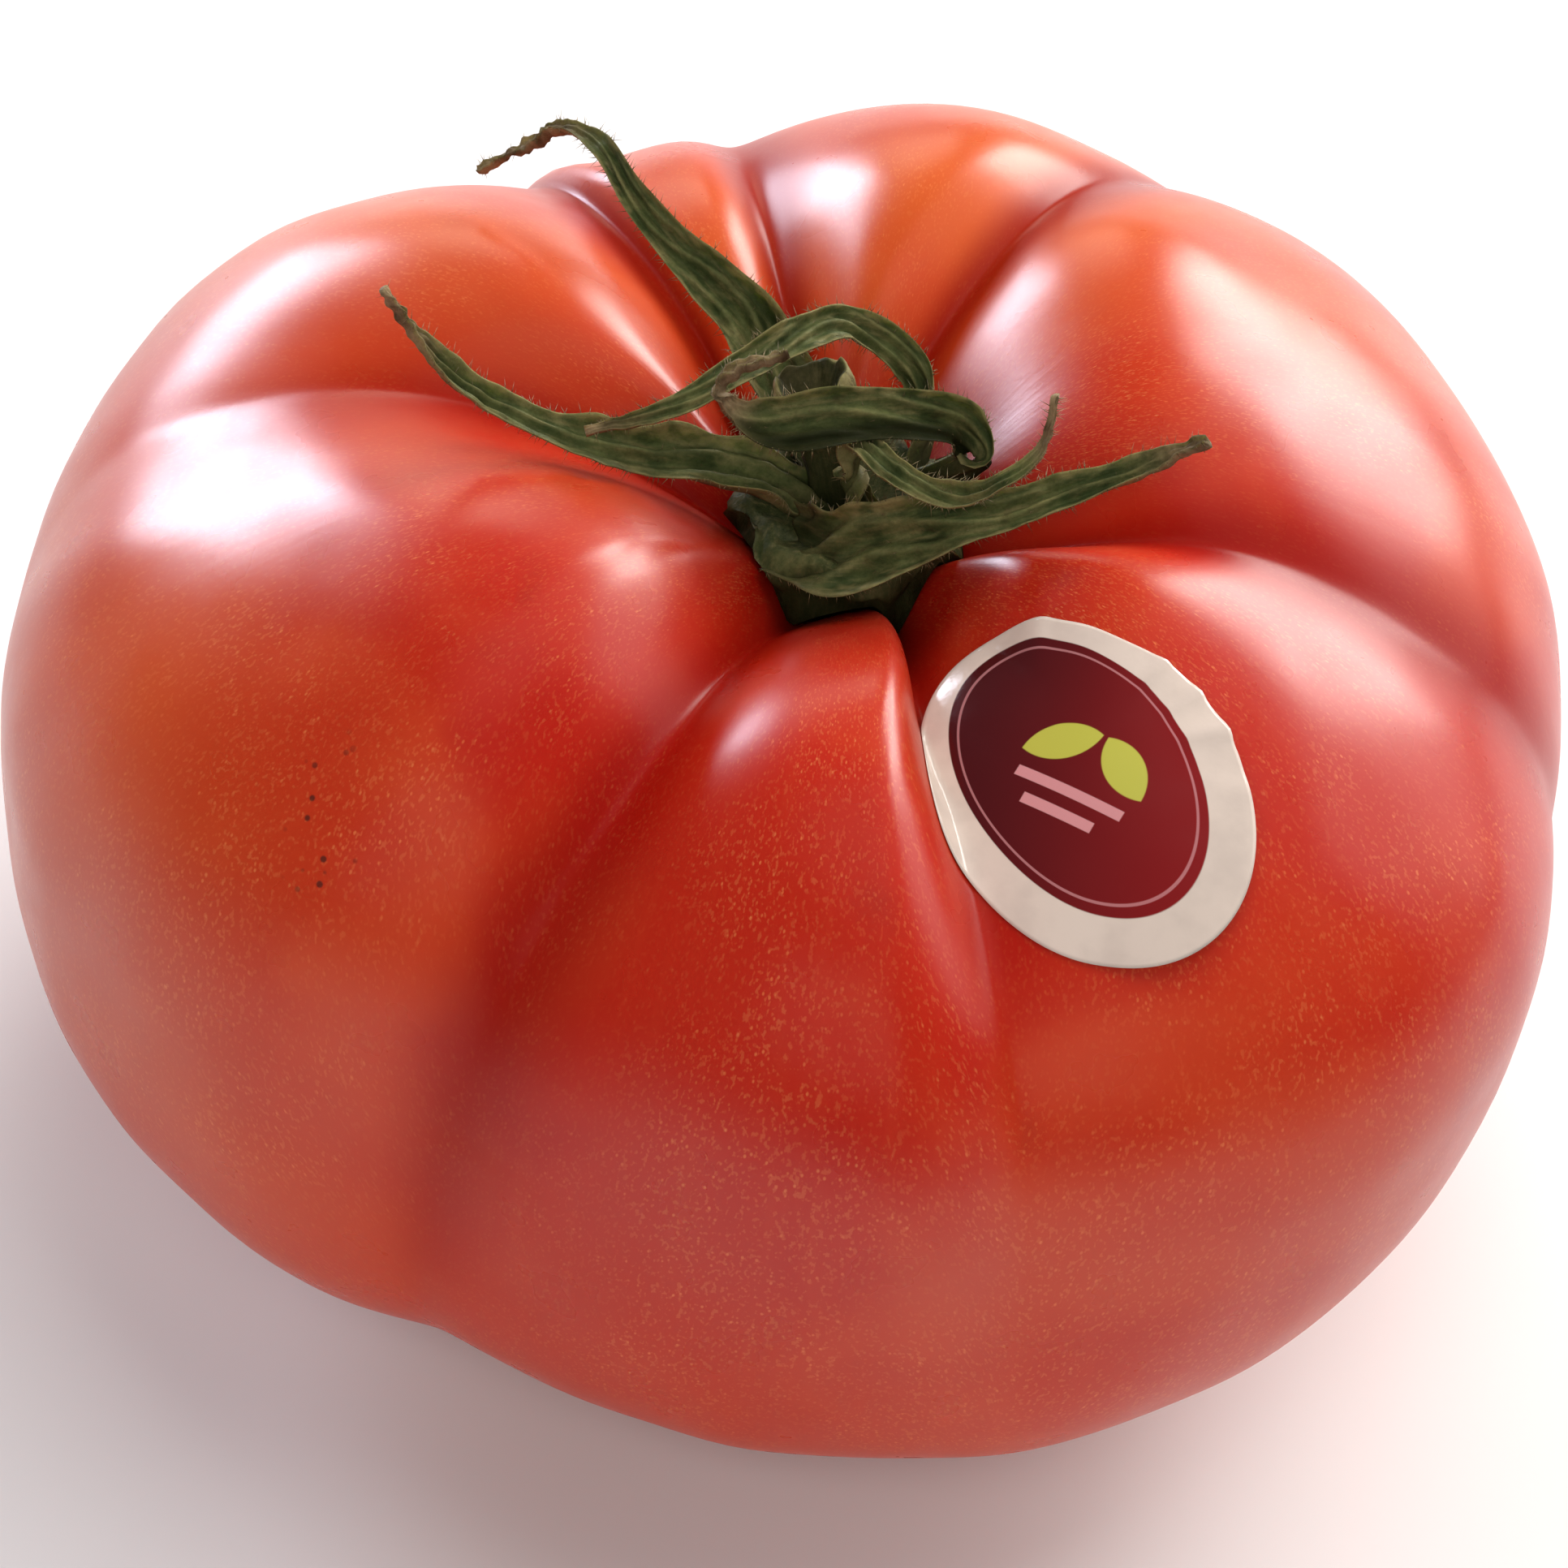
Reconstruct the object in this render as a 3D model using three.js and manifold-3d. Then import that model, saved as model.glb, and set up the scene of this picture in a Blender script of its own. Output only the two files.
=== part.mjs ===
// A ribbed pink tomato with its dried green calyx and a plain oval sticker.
// Millimetres, +Z up. The origin is the middle of the flat spot that the fruit rests on.
// Azimuths are degrees about +Z from +X; polar angles are degrees down from +Z.
import * as THREE from 'three';
import { mergeVertices } from 'three/addons/utils/BufferGeometryUtils.js';
import Module from 'manifold-3d';

const wasm = await Module();
wasm.setup();

// Driving dimensions of the fruit
const MEAN_RADIUS = 50;
const WAIST_HEIGHT = 36.7;
const SHOULDER_RISE = 25.8;
const BASE_DROP = 1.01 * WAIST_HEIGHT;
const SHOULDER_POWER = 2.28;
const BASE_POWER = 2.45;
const CAVITY_DEPTH = 17.1;
const CAVITY_RADIUS = 17.1;
const CAVITY_POWER = 2.6;
const CAVITY_LOBING = 0.35;

// Uneven growth: cosine and sine shares of each order, about the azimuth
const PLAN_SHARES = [-0.031, 0.031, 0.019, -0.028, -0.019, -0.003, -0.008, 0.01];
const SHOULDER_SHARES = [0.034, 0.006, -0.009, 0.068];
const BASE_SHARES = [-0.116, -0.073, -0.027, -0.007];
const CAVITY_SHARES = [-0.156, 0.077, -0.191, -0.037];

// Creases in order round the fruit. Each lobe lies between its crease and the next one.
// A hook bends the crease aside near the axis; the crest is how far across the lobe it peaks.
const CREASES = [
  { at: 72, drift: -34, hook: 13.7, depth: 1.6, fade: [60, 120], swell: 0.3, crest: 0.45, columns: 12 },
  { at: 104.6, drift: -4.8, hook: 1.3, depth: 3.2, fade: [60, 120], swell: -3.55, crest: 0.74, columns: 8 },
  { at: 120.1, drift: 2.6, hook: 14.3, depth: 5, fade: [60, 120], swell: 1.1, crest: 0.51, columns: 11 },
  { at: 161.1, drift: 33.4, hook: -1.1, depth: 2.4, fade: [45, 100], swell: 1.6, crest: 0.7, columns: 20 },
  { at: 248.2, drift: -11.9, hook: -7.9, depth: 3.7, fade: [60, 165], swell: 0.6, crest: 0.73, columns: 12 },
  { at: 284.3, drift: 2.8, hook: 15, depth: 5.3, fade: [30, 120], swell: 0.7, crest: 0.57, columns: 16 },
  { at: 345.4, drift: 5.6, hook: -9.4, depth: 2.2, fade: [60, 135], swell: -1.4, crest: 0.49, columns: 18 },
];
const CREASE_POWER = 2.2;
const CREASE_ROUNDING = [0.25, 1.85];
const MOST_ROUNDING = 0.6;

// Polar angles between which each trait of the skin grows or fades
const BASE_RUN = [75, 150];
const LIFT_RUN = [8, 52];
const CREASE_RUN = [-4, 48];
const DRIFT_RUN = [20, 150];
const HOOK_RUN = [20, 55];
const ROUNDING_RUN = [25, 95];
const SWELL_RUN = [0, 40];
const SWELL_FADE = [70, 125];

// Facets of the fruit
const FRUIT_ROWS = 38;
const ROW_CROWDING = 1.12;
const COLUMN_CROWDING = 0.7;

// Driving dimensions of the calyx
const SEAT_GAP = 0.35;
const CUP_RADIUS = 7;
const CUP_RINGS = 6;
const CUP_SIDES = 36;
const CUP_THICKNESS = 0.9;
// Rings of the cup's dished top: share of its radius and height
const CUP_DISH = [[1.1, 52.4], [1.06, 53.6], [0.94, 54.1], [0.6, 53.3], [0.3, 52.5]];
const SEPAL_THICKNESS = 0.8;
const SEPAL_STATIONS = 24;
const SEPAL_COLUMNS = 4;
const STALK_LENGTH = 12.4;
const STALK_FOOT = [-0.1, 1.5, 49.5];
const STALK_TOP = [-3.1, 2.5, 61.6];
const STALK_SIDES = 14;

// Driving dimensions of the sticker
const LABEL_LENGTH = 25.4;
const LABEL_WIDTH = 17.3;
const LABEL_THICKNESS = 0.5;
const LABEL_GAP = 0.2;
const LABEL_AZIMUTH = 299;
const LABEL_POLAR = 55.1;
const LABEL_TURN = 2.5;
const LABEL_LONG_BEND = 31;
const LABEL_WIDE_BEND = 30;
const LABEL_SKEW = 0.0003;
const LABEL_EASE = 0.5;
const LABEL_RINGS = 8;
const LABEL_SIDES = 36;

const radians = THREE.MathUtils.degToRad;

function smooth([from, to], value) {
  return THREE.MathUtils.smoothstep(value, from, to);
}

// Sum of cosine and sine shares of rising order at one azimuth in radians
function unevenness(azimuth, shares) {
  let sum = 0;
  for (let k = 0; k < shares.length; k += 2) {
    const order = k / 2 + 1;
    sum += shares[k] * Math.cos(order * azimuth) + shares[k + 1] * Math.sin(order * azimuth);
  }
  return sum;
}

// Azimuth in degrees of a crease, or of a column between two, as it runs down the fruit
function azimuthAt({ at, drift, hook }, polar) {
  return at + drift * smooth(DRIFT_RUN, polar) + hook * (1 - smooth(HOOK_RUN, polar));
}

// The lobe that holds an azimuth: how far across it (0 to 1) and how wide it is
function lobeAt(azimuthDegrees, polar) {
  const lines = CREASES.map((crease) => azimuthAt(crease, polar));
  const count = lines.length;
  let azimuth = ((azimuthDegrees % 360) + 360) % 360;
  if (azimuth < lines[0]) {
    azimuth += 360;
  }
  let index = count - 1;
  for (let k = 0; k < count - 1; k += 1) {
    if (azimuth >= lines[k] && azimuth < lines[k + 1]) {
      index = k;
    }
  }
  const end = index === count - 1 ? lines[0] + 360 : lines[index + 1];
  const span = end - lines[index];
  return { index, span, across: (azimuth - lines[index]) / span };
}

// Distance from the waist centre to the skin
function skinRadius(azimuthDegrees, polar) {
  const azimuth = radians(azimuthDegrees);
  const sine = Math.sin(radians(polar));
  const cosine = Math.cos(radians(polar));
  const upper = cosine > 0;
  const lowShare = unevenness(azimuth, BASE_SHARES) * smooth(BASE_RUN, polar);
  const reach = MEAN_RADIUS * (1 + unevenness(azimuth, PLAN_SHARES)) * (1 + lowShare);
  const lift = 1 + unevenness(azimuth, SHOULDER_SHARES) * smooth(LIFT_RUN, polar);
  const rise = upper ? SHOULDER_RISE * lift : BASE_DROP;
  const power = upper ? SHOULDER_POWER : BASE_POWER;
  const round = (sine / reach) ** power + (Math.abs(cosine) / rise) ** power;
  let radius = round ** (-1 / power);
  const offAxis = radius * sine;

  const lobe = lobeAt(azimuthDegrees, polar);
  const { crest, swell } = CREASES[lobe.index];
  const past = lobe.across > crest;
  const crease = CREASES[past ? (lobe.index + 1) % CREASES.length : lobe.index];
  const flank = past ? 1 - crest : crest;
  const side = (past ? 1 - lobe.across : lobe.across) / flank;
  const flankWidth = radians(lobe.span * flank) * Math.max(offAxis, 1);
  const [sharp, blunt] = CREASE_ROUNDING;
  const roundedWidth = THREE.MathUtils.lerp(sharp, blunt, smooth(ROUNDING_RUN, polar));
  const rounding = Math.min(roundedWidth / flankWidth, MOST_ROUNDING);
  const eased = (Math.hypot(side, rounding) - rounding) / (Math.hypot(1, rounding) - rounding);
  const fold = (1 - THREE.MathUtils.clamp(eased, 0, 1)) ** CREASE_POWER;
  const run = smooth(CREASE_RUN, polar) * (1 - smooth(crease.fade, polar));
  radius -= crease.depth * run * fold;

  const swollen = Math.sin((Math.PI / 2) * side) ** 2;
  radius += swell * swollen * smooth(SWELL_RUN, polar) * (1 - smooth(SWELL_FADE, polar));
  if (upper) {
    const open = 1 + unevenness(azimuth, CAVITY_SHARES);
    const mouth = CAVITY_RADIUS * open * (1 + CAVITY_LOBING * fold);
    radius -= CAVITY_DEPTH * Math.exp(-((offAxis / mouth) ** CAVITY_POWER));
  }
  return radius;
}

// A point at a distance from the waist centre, never lower than the flat spot
function fromWaist(azimuthDegrees, polar, distance) {
  const sine = Math.sin(radians(polar));
  return new THREE.Vector3(
    distance * sine * Math.cos(radians(azimuthDegrees)),
    distance * sine * Math.sin(radians(azimuthDegrees)),
    Math.max(0, WAIST_HEIGHT + distance * Math.cos(radians(polar))),
  );
}

// Polar angle at which the skin of one azimuth meets the flat spot
function flatSpotPolar(azimuthDegrees) {
  let high = 120;
  let low = 179;
  for (let step = 0; step < 40; step += 1) {
    const middle = (high + low) / 2;
    const drop = skinRadius(azimuthDegrees, middle) * Math.cos(radians(middle));
    if (WAIST_HEIGHT + drop > 0) {
      high = middle;
    } else {
      low = middle;
    }
  }
  return low;
}

// Columns of the skin, crowded towards the creases, each bent like the creases beside it
function skinColumns() {
  const columns = [];
  CREASES.forEach((crease, index) => {
    const last = index === CREASES.length - 1;
    const next = CREASES[last ? 0 : index + 1];
    const end = next.at + (last ? 360 : 0);
    for (let k = 0; k < crease.columns; k += 1) {
      const even = k / crease.columns;
      const share = even - (COLUMN_CROWDING * Math.sin(2 * Math.PI * even)) / (2 * Math.PI);
      columns.push({
        at: THREE.MathUtils.lerp(crease.at, end, share),
        drift: THREE.MathUtils.lerp(crease.drift, next.drift, share),
        hook: THREE.MathUtils.lerp(crease.hook, next.hook, share),
      });
    }
  });
  return columns;
}

function closedMesh(vertices, triangles) {
  const geometry = new THREE.BufferGeometry();
  geometry.setAttribute('position', new THREE.Float32BufferAttribute(vertices, 3));
  geometry.setIndex(triangles);
  return geometry;
}

// The fruit in one piece: skin rows from the cavity's middle to the rim of the flat spot
function fruitGeometry() {
  const columns = skinColumns();
  const count = columns.length;
  const vertices = [];
  fromWaist(0, 0, skinRadius(0, 0.001)).toArray(vertices, 0);
  const ends = columns.map((column) => flatSpotPolar(column.at + column.drift));
  for (let row = 1; row <= FRUIT_ROWS; row += 1) {
    const share = row / FRUIT_ROWS;
    columns.forEach((column, index) => {
      const polar = ends[index] * share ** ROW_CROWDING;
      const azimuth = azimuthAt(column, polar);
      const point = fromWaist(azimuth, polar, skinRadius(azimuth, polar));
      if (row === FRUIT_ROWS) {
        point.z = 0;
      }
      point.toArray(vertices, vertices.length);
    });
  }
  const bottom = vertices.length / 3;
  vertices.push(0, 0, 0);

  const triangles = [];
  for (let k = 0; k < count; k += 1) {
    const next = (k + 1) % count;
    triangles.push(0, 1 + k, 1 + next);
    for (let row = 0; row < FRUIT_ROWS - 1; row += 1) {
      const above = 1 + row * count;
      const below = above + count;
      triangles.push(above + k, below + k, below + next);
      triangles.push(above + k, below + next, above + next);
    }
    const rim = 1 + (FRUIT_ROWS - 1) * count;
    triangles.push(rim + k, bottom, rim + next);
  }
  return closedMesh(vertices, triangles);
}

// Each sepal: spine points from its root to its tip, with width and roll in degrees.
// At roll 0 the blade lies flat; a rolled blade turns about its own spine.
const SEPALS = {
  lowLeft: {
    spine: [
      [-1, 0, 52, 3.6, 0],
      [-4.5, 0, 54.5, 4.0, 10],
      [-8.5, -0.5, 56.5, 3.9, 20],
      [-12.5, -1.3, 57.5, 3.3, 25],
      [-16.5, -1.4, 58.5, 2.7, 25],
      [-20.5, -1.3, 60, 2.1, 20],
      [-24.2, -0.9, 62, 1.6, 10],
      [-26.7, -0.7, 65, 1.2, 0],
      [-28.8, -0.9, 69, 0.7, 0],
    ],
    channel: 0.35,
  },
  backLeft: {
    spine: [
      [-1.5, 3.5, 53, 4.2, 0],
      [-3.8, 7.5, 55, 4.4, 15],
      [-6.8, 11.8, 57.2, 4.0, 30],
      [-9.8, 13.8, 59.2, 3.2, 35],
      [-12.6, 15.6, 61, 2.4, 35],
      [-15, 18, 62.5, 1.8, 35],
      [-17.4, 21.4, 63.5, 1.4, 30],
      [-20, 24.2, 62.5, 1.1, 10],
      [-22.7, 25.6, 59.5, 1.0, 0],
      [-25.6, 25.7, 57.5, 0.7, 0],
    ],
    channel: 0.4,
  },
  rearArch: {
    spine: [
      [4, 3, 53, 2.6, 80],
      [4.3, 6.4, 57, 2.5, 70],
      [2.5, 7.7, 59.5, 2.4, 45],
      [-1, 7.6, 61.5, 2.4, 30],
      [-3.7, 5.2, 62.5, 2.3, 30],
      [-7.2, 1.9, 62.5, 2.1, 30],
      [-11.2, -1.2, 61.5, 1.5, 25],
      [-16.4, -2.8, 60.5, 0.7, 20],
    ],
    channel: 0.3,
  },
  frontArch: {
    spine: [
      [3.9, 0.6, 54.6, 2.6, 80],
      [7.7, 0.7, 57.5, 2.6, 70],
      [6.3, 1.4, 59.5, 2.8, 55],
      [2.8, 0.3, 61, 3.2, 45],
      [-1.2, -0.9, 61.5, 3.6, 45],
      [-4.6, -1.4, 61, 3.4, 45],
      [-7.2, -1.4, 61.5, 2.4, 35],
      [-8.3, -1.1, 63, 1.4, 20],
      [-7.2, -0.8, 64.5, 1.3, 20],
      [-4.5, 0, 65.5, 0.9, 20],
    ],
    channel: 0.3,
  },
  frontFold: {
    spine: [
      [-3.5, -3.5, 53.3, 4.6, -40],
      [-1.5, -5.2, 54.2, 5.6, -45],
      [1.3, -5.9, 55.5, 5.4, -45],
      [4.2, -6.2, 57.1, 4.2, -40],
      [7.2, -6.2, 58.5, 2.8, -35],
      [10.3, -5.8, 59.5, 2.4, -30],
      [13.9, -5.3, 61, 2.1, -25],
      [17.6, -5.2, 63, 1.6, -15],
      [20.7, -5.6, 65.5, 0.7, 0],
    ],
    channel: 0.35,
  },
  frontCurl: {
    spine: [
      [1.1, -0.5, 52.5, 2.2, 60],
      [-0.4, -1.4, 57, 2.2, 40],
      [0.2, -1.6, 59.6, 2.0, 0],
      [2.3, -3.9, 59.9, 1.9, -20],
      [5.2, -6.5, 60.6, 1.7, -25],
      [7.6, -7.6, 62, 1.3, -25],
      [9.9, -7.4, 64, 1.0, -15],
      [11.1, -6.5, 66, 0.8, 0],
      [11.3, -5.9, 68.5, 0.7, 0],
    ],
    channel: 0.25,
  },
};

// Value of one column of the spine table at a share of its length
function along(table, column, share) {
  const place = share * (table.length - 1);
  const index = Math.min(Math.floor(place), table.length - 2);
  return THREE.MathUtils.lerp(table[index][column], table[index + 1][column], place - index);
}

// A channelled blade along its spine, both faces split along the same diagonals
function sepalGeometry({ spine, channel }) {
  const curve = new THREE.CatmullRomCurve3(spine.map(([x, y, z]) => new THREE.Vector3(x, y, z)));
  const up = new THREE.Vector3(0, 0, 1);
  const vertices = [];
  const rowLength = SEPAL_COLUMNS + 1;
  for (let station = 0; station <= SEPAL_STATIONS; station += 1) {
    const share = station / SEPAL_STATIONS;
    const centre = curve.getPoint(share);
    const heading = curve.getTangent(share);
    const side = new THREE.Vector3().crossVectors(heading, up).normalize();
    side.applyAxisAngle(heading, -radians(along(spine, 4, share)));
    const face = new THREE.Vector3().crossVectors(side, heading).normalize();
    const half = along(spine, 3, share) / 2;
    for (const skin of [0.5, -0.5]) {
      for (let column = 0; column < rowLength; column += 1) {
        const across = (2 * column) / SEPAL_COLUMNS - 1;
        const rise = channel * half * across ** 2 + skin * SEPAL_THICKNESS;
        const point = centre.clone();
        point.addScaledVector(side, across * half).addScaledVector(face, rise);
        point.toArray(vertices, vertices.length);
      }
    }
  }
  return closedMesh(vertices, bladeTriangles(SEPAL_STATIONS, SEPAL_COLUMNS));
}

// Triangles of a blade whose stations each hold an upper and a lower row of points
function bladeTriangles(stations, columns) {
  const triangles = [];
  const rowLength = columns + 1;
  const upper = (station, column) => station * 2 * rowLength + column;
  const lower = (station, column) => upper(station, column) + rowLength;
  for (let s = 0; s < stations; s += 1) {
    for (let c = 0; c < columns; c += 1) {
      triangles.push(upper(s, c), upper(s, c + 1), upper(s + 1, c + 1));
      triangles.push(upper(s, c), upper(s + 1, c + 1), upper(s + 1, c));
      triangles.push(lower(s, c), lower(s + 1, c + 1), lower(s, c + 1));
      triangles.push(lower(s, c), lower(s + 1, c), lower(s + 1, c + 1));
    }
    triangles.push(upper(s, 0), upper(s + 1, 0), lower(s + 1, 0));
    triangles.push(upper(s, 0), lower(s + 1, 0), lower(s, 0));
    triangles.push(upper(s, columns), lower(s + 1, columns), upper(s + 1, columns));
    triangles.push(upper(s, columns), lower(s, columns), lower(s + 1, columns));
  }
  for (let c = 0; c < columns; c += 1) {
    triangles.push(upper(0, c), lower(0, c + 1), upper(0, c + 1));
    triangles.push(upper(0, c), lower(0, c), lower(0, c + 1));
    triangles.push(upper(stations, c), upper(stations, c + 1), lower(stations, c + 1));
    triangles.push(upper(stations, c), lower(stations, c + 1), lower(stations, c));
  }
  return triangles;
}

// Height of the skin inside the cavity, in one direction at a distance from the axis
function cavityHeight(azimuth, offAxis) {
  let polar = 0;
  while (skinRadius(azimuth, polar) * Math.sin(radians(polar)) < offAxis) {
    polar += 0.25;
  }
  return fromWaist(azimuth, polar, skinRadius(azimuth, polar)).z;
}

// Height of the cup's underside, clear of the skin from one facet edge to the next
function seatHeight(azimuth, offAxis) {
  const around = [-0.5, 0, 0.5].map((share) => azimuth + (share * 360) / CUP_SIDES);
  const heights = around.map((direction) => cavityHeight(direction, offAxis + SEAT_GAP));
  return Math.max(...heights) + SEAT_GAP;
}

// The cup that the sepals grow from: it follows the cavity below and is dished above
function cupGeometry() {
  const vertices = [0, 0, seatHeight(0, 0)];
  const addRing = (radius, level) => {
    for (let k = 0; k < CUP_SIDES; k += 1) {
      const azimuth = (360 * k) / CUP_SIDES;
      const x = radius * Math.cos(radians(azimuth));
      const y = radius * Math.sin(radians(azimuth));
      const seat = seatHeight(azimuth, radius);
      vertices.push(x, y, level === null ? seat : Math.max(level, seat + CUP_THICKNESS));
    }
  };
  for (let ring = 1; ring <= CUP_RINGS; ring += 1) {
    addRing((CUP_RADIUS * ring) / CUP_RINGS, null);
  }
  CUP_DISH.forEach(([share, level]) => addRing(CUP_RADIUS * share, level));
  const top = vertices.length / 3;
  vertices.push(0, 0, CUP_DISH[CUP_DISH.length - 1][1]);

  const triangles = [];
  const rings = (top - 1) / CUP_SIDES;
  for (let k = 0; k < CUP_SIDES; k += 1) {
    const next = (k + 1) % CUP_SIDES;
    triangles.push(0, 1 + next, 1 + k);
    for (let ring = 0; ring < rings - 1; ring += 1) {
      const inner = 1 + ring * CUP_SIDES;
      const outer = inner + CUP_SIDES;
      triangles.push(inner + k, inner + next, outer + next);
      triangles.push(inner + k, outer + next, outer + k);
    }
    const last = 1 + (rings - 1) * CUP_SIDES;
    triangles.push(last + k, last + next, top);
  }
  return closedMesh(vertices, triangles);
}

// The broken stalk: it leans back to the left and ends in a hollow knuckle
function stalkGeometry() {
  const profile = [
    new THREE.Vector2(0, 0),
    new THREE.Vector2(2.2, 0),
    new THREE.Vector2(1.6, 3.5),
    new THREE.Vector2(1.6, 7.6),
    new THREE.Vector2(2.4, 10),
    new THREE.Vector2(2.6, 11.5),
    new THREE.Vector2(2.3, STALK_LENGTH),
    new THREE.Vector2(1.8, STALK_LENGTH - 0.3),
    new THREE.Vector2(1.2, STALK_LENGTH - 1.6),
    new THREE.Vector2(0, STALK_LENGTH - 2),
  ];
  const geometry = new THREE.LatheGeometry(profile, STALK_SIDES).rotateX(Math.PI / 2);
  const foot = new THREE.Vector3(...STALK_FOOT);
  const top = new THREE.Vector3(...STALK_TOP);
  const lean = top.sub(foot).normalize();
  geometry.applyQuaternion(
    new THREE.Quaternion().setFromUnitVectors(new THREE.Vector3(0, 0, 1), lean),
  );
  return geometry.translate(foot.x, foot.y, foot.z);
}

function toSolid(geometry) {
  const bare = geometry.clone();
  bare.deleteAttribute('normal');
  bare.deleteAttribute('uv');
  const merged = mergeVertices(bare, 1e-4);
  const mesh = new wasm.Mesh({
    numProp: 3,
    vertProperties: new Float32Array(merged.attributes.position.array),
    triVerts: new Uint32Array(merged.index.array),
  });
  return new wasm.Manifold(mesh);
}

function fromSolid(solid) {
  const mesh = solid.getMesh();
  return closedMesh(Array.from(mesh.vertProperties), Array.from(mesh.triVerts));
}

function calyxGeometry() {
  let solid = toSolid(cupGeometry()).add(toSolid(stalkGeometry()));
  for (const sepal of Object.values(SEPALS)) {
    solid = solid.add(toSolid(sepalGeometry(sepal)));
  }
  return fromSolid(solid);
}

// A point's azimuth, polar angle and distance as seen from the waist centre
function directionOf(point) {
  const offset = point.clone().setZ(point.z - WAIST_HEIGHT);
  const distance = offset.length();
  const azimuth = THREE.MathUtils.radToDeg(Math.atan2(offset.y, offset.x));
  const polar = THREE.MathUtils.radToDeg(Math.acos(offset.z / distance));
  return { azimuth, polar, distance };
}

// Larger of two distances, with the change from one to the other rounded off
function easedMaximum(one, other, ease) {
  return (one + other + Math.hypot(one - other, ease)) / 2;
}

// A thin oval, bent two ways like the lobe below it. Where the skin drops into a crease
// it stays taut, and where the next lobe rises it rides up on the skin.
function labelGeometry() {
  const skin = (azimuth, polar) => fromWaist(azimuth, polar, skinRadius(azimuth, polar));
  const centre = skin(LABEL_AZIMUTH, LABEL_POLAR);
  const down = skin(LABEL_AZIMUTH, LABEL_POLAR + 6).sub(skin(LABEL_AZIMUTH, LABEL_POLAR - 6));
  const round = skin(LABEL_AZIMUTH + 6, LABEL_POLAR).sub(skin(LABEL_AZIMUTH - 6, LABEL_POLAR));
  const normal = new THREE.Vector3().crossVectors(down, round).normalize();
  const long = down.normalize().applyAxisAngle(normal, radians(LABEL_TURN));
  const wide = new THREE.Vector3().crossVectors(normal, long);

  const place = (radiusShare, angle, height) => {
    const u = (LABEL_LENGTH / 2) * radiusShare * Math.cos(angle);
    const v = (LABEL_WIDTH / 2) * radiusShare * Math.sin(angle);
    const bend = u ** 2 / (2 * LABEL_LONG_BEND) + v ** 2 / (2 * LABEL_WIDE_BEND);
    const point = centre.clone().addScaledVector(long, u).addScaledVector(wide, v);
    point.addScaledVector(normal, LABEL_SKEW * u ** 3 - bend);
    const { azimuth, polar, distance } = directionOf(point);
    const clear = easedMaximum(distance, skinRadius(azimuth, polar), LABEL_EASE);
    return fromWaist(azimuth, polar, clear + LABEL_GAP + height);
  };
  const vertices = [];
  for (const height of [LABEL_THICKNESS, 0]) {
    place(0, 0, height).toArray(vertices, vertices.length);
    for (let ring = 1; ring <= LABEL_RINGS; ring += 1) {
      for (let k = 0; k < LABEL_SIDES; k += 1) {
        const angle = (2 * Math.PI * k) / LABEL_SIDES;
        place(ring / LABEL_RINGS, angle, height).toArray(vertices, vertices.length);
      }
    }
  }
  return closedMesh(vertices, labelTriangles());
}

function labelTriangles() {
  const triangles = [];
  const faceSize = 1 + LABEL_RINGS * LABEL_SIDES;
  const lastRing = 1 + (LABEL_RINGS - 1) * LABEL_SIDES;
  const face = (a, b, c) => {
    triangles.push(a, b, c);
    triangles.push(faceSize + a, faceSize + c, faceSize + b);
  };
  for (let k = 0; k < LABEL_SIDES; k += 1) {
    const next = (k + 1) % LABEL_SIDES;
    face(0, 1 + k, 1 + next);
    for (let ring = 0; ring < LABEL_RINGS - 1; ring += 1) {
      const inner = 1 + ring * LABEL_SIDES;
      const outer = inner + LABEL_SIDES;
      face(inner + k, outer + k, outer + next);
      face(inner + k, outer + next, inner + next);
    }
    const rim = lastRing + k;
    const rimNext = lastRing + next;
    triangles.push(rim, faceSize + rim, faceSize + rimNext);
    triangles.push(rim, faceSize + rimNext, rimNext);
  }
  return triangles;
}

function piece(name, geometry, colour, roughness) {
  const material = new THREE.MeshStandardMaterial({ color: colour, roughness, metalness: 0 });
  const mesh = new THREE.Mesh(geometry, material);
  mesh.name = name;
  return mesh;
}

const tomato = new THREE.Group();
tomato.add(piece('fruit', fruitGeometry(), '#bf3528', 0.3));
tomato.add(piece('calyx', calyxGeometry(), '#58603c', 0.8));
tomato.add(piece('label', labelGeometry(), '#8a2a33', 0.35));

export default tomato;
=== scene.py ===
import math

import bpy
import numpy as np
from mathutils import Matrix, Vector


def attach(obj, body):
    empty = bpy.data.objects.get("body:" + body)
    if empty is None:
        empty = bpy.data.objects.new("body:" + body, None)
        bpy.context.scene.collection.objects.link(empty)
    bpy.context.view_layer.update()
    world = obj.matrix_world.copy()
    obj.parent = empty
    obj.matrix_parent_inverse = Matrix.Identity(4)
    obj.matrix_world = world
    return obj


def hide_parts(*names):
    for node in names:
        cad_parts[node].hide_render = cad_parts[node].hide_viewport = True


# A ribbed pink tomato with its dried calyx and a plain oval sticker.
# Lengths are millimetres in the frame of the solids, and become metres when a mesh is made.
# Azimuths are degrees about +Z from +X. Polar angles are degrees down from +Z at the waist.

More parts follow.
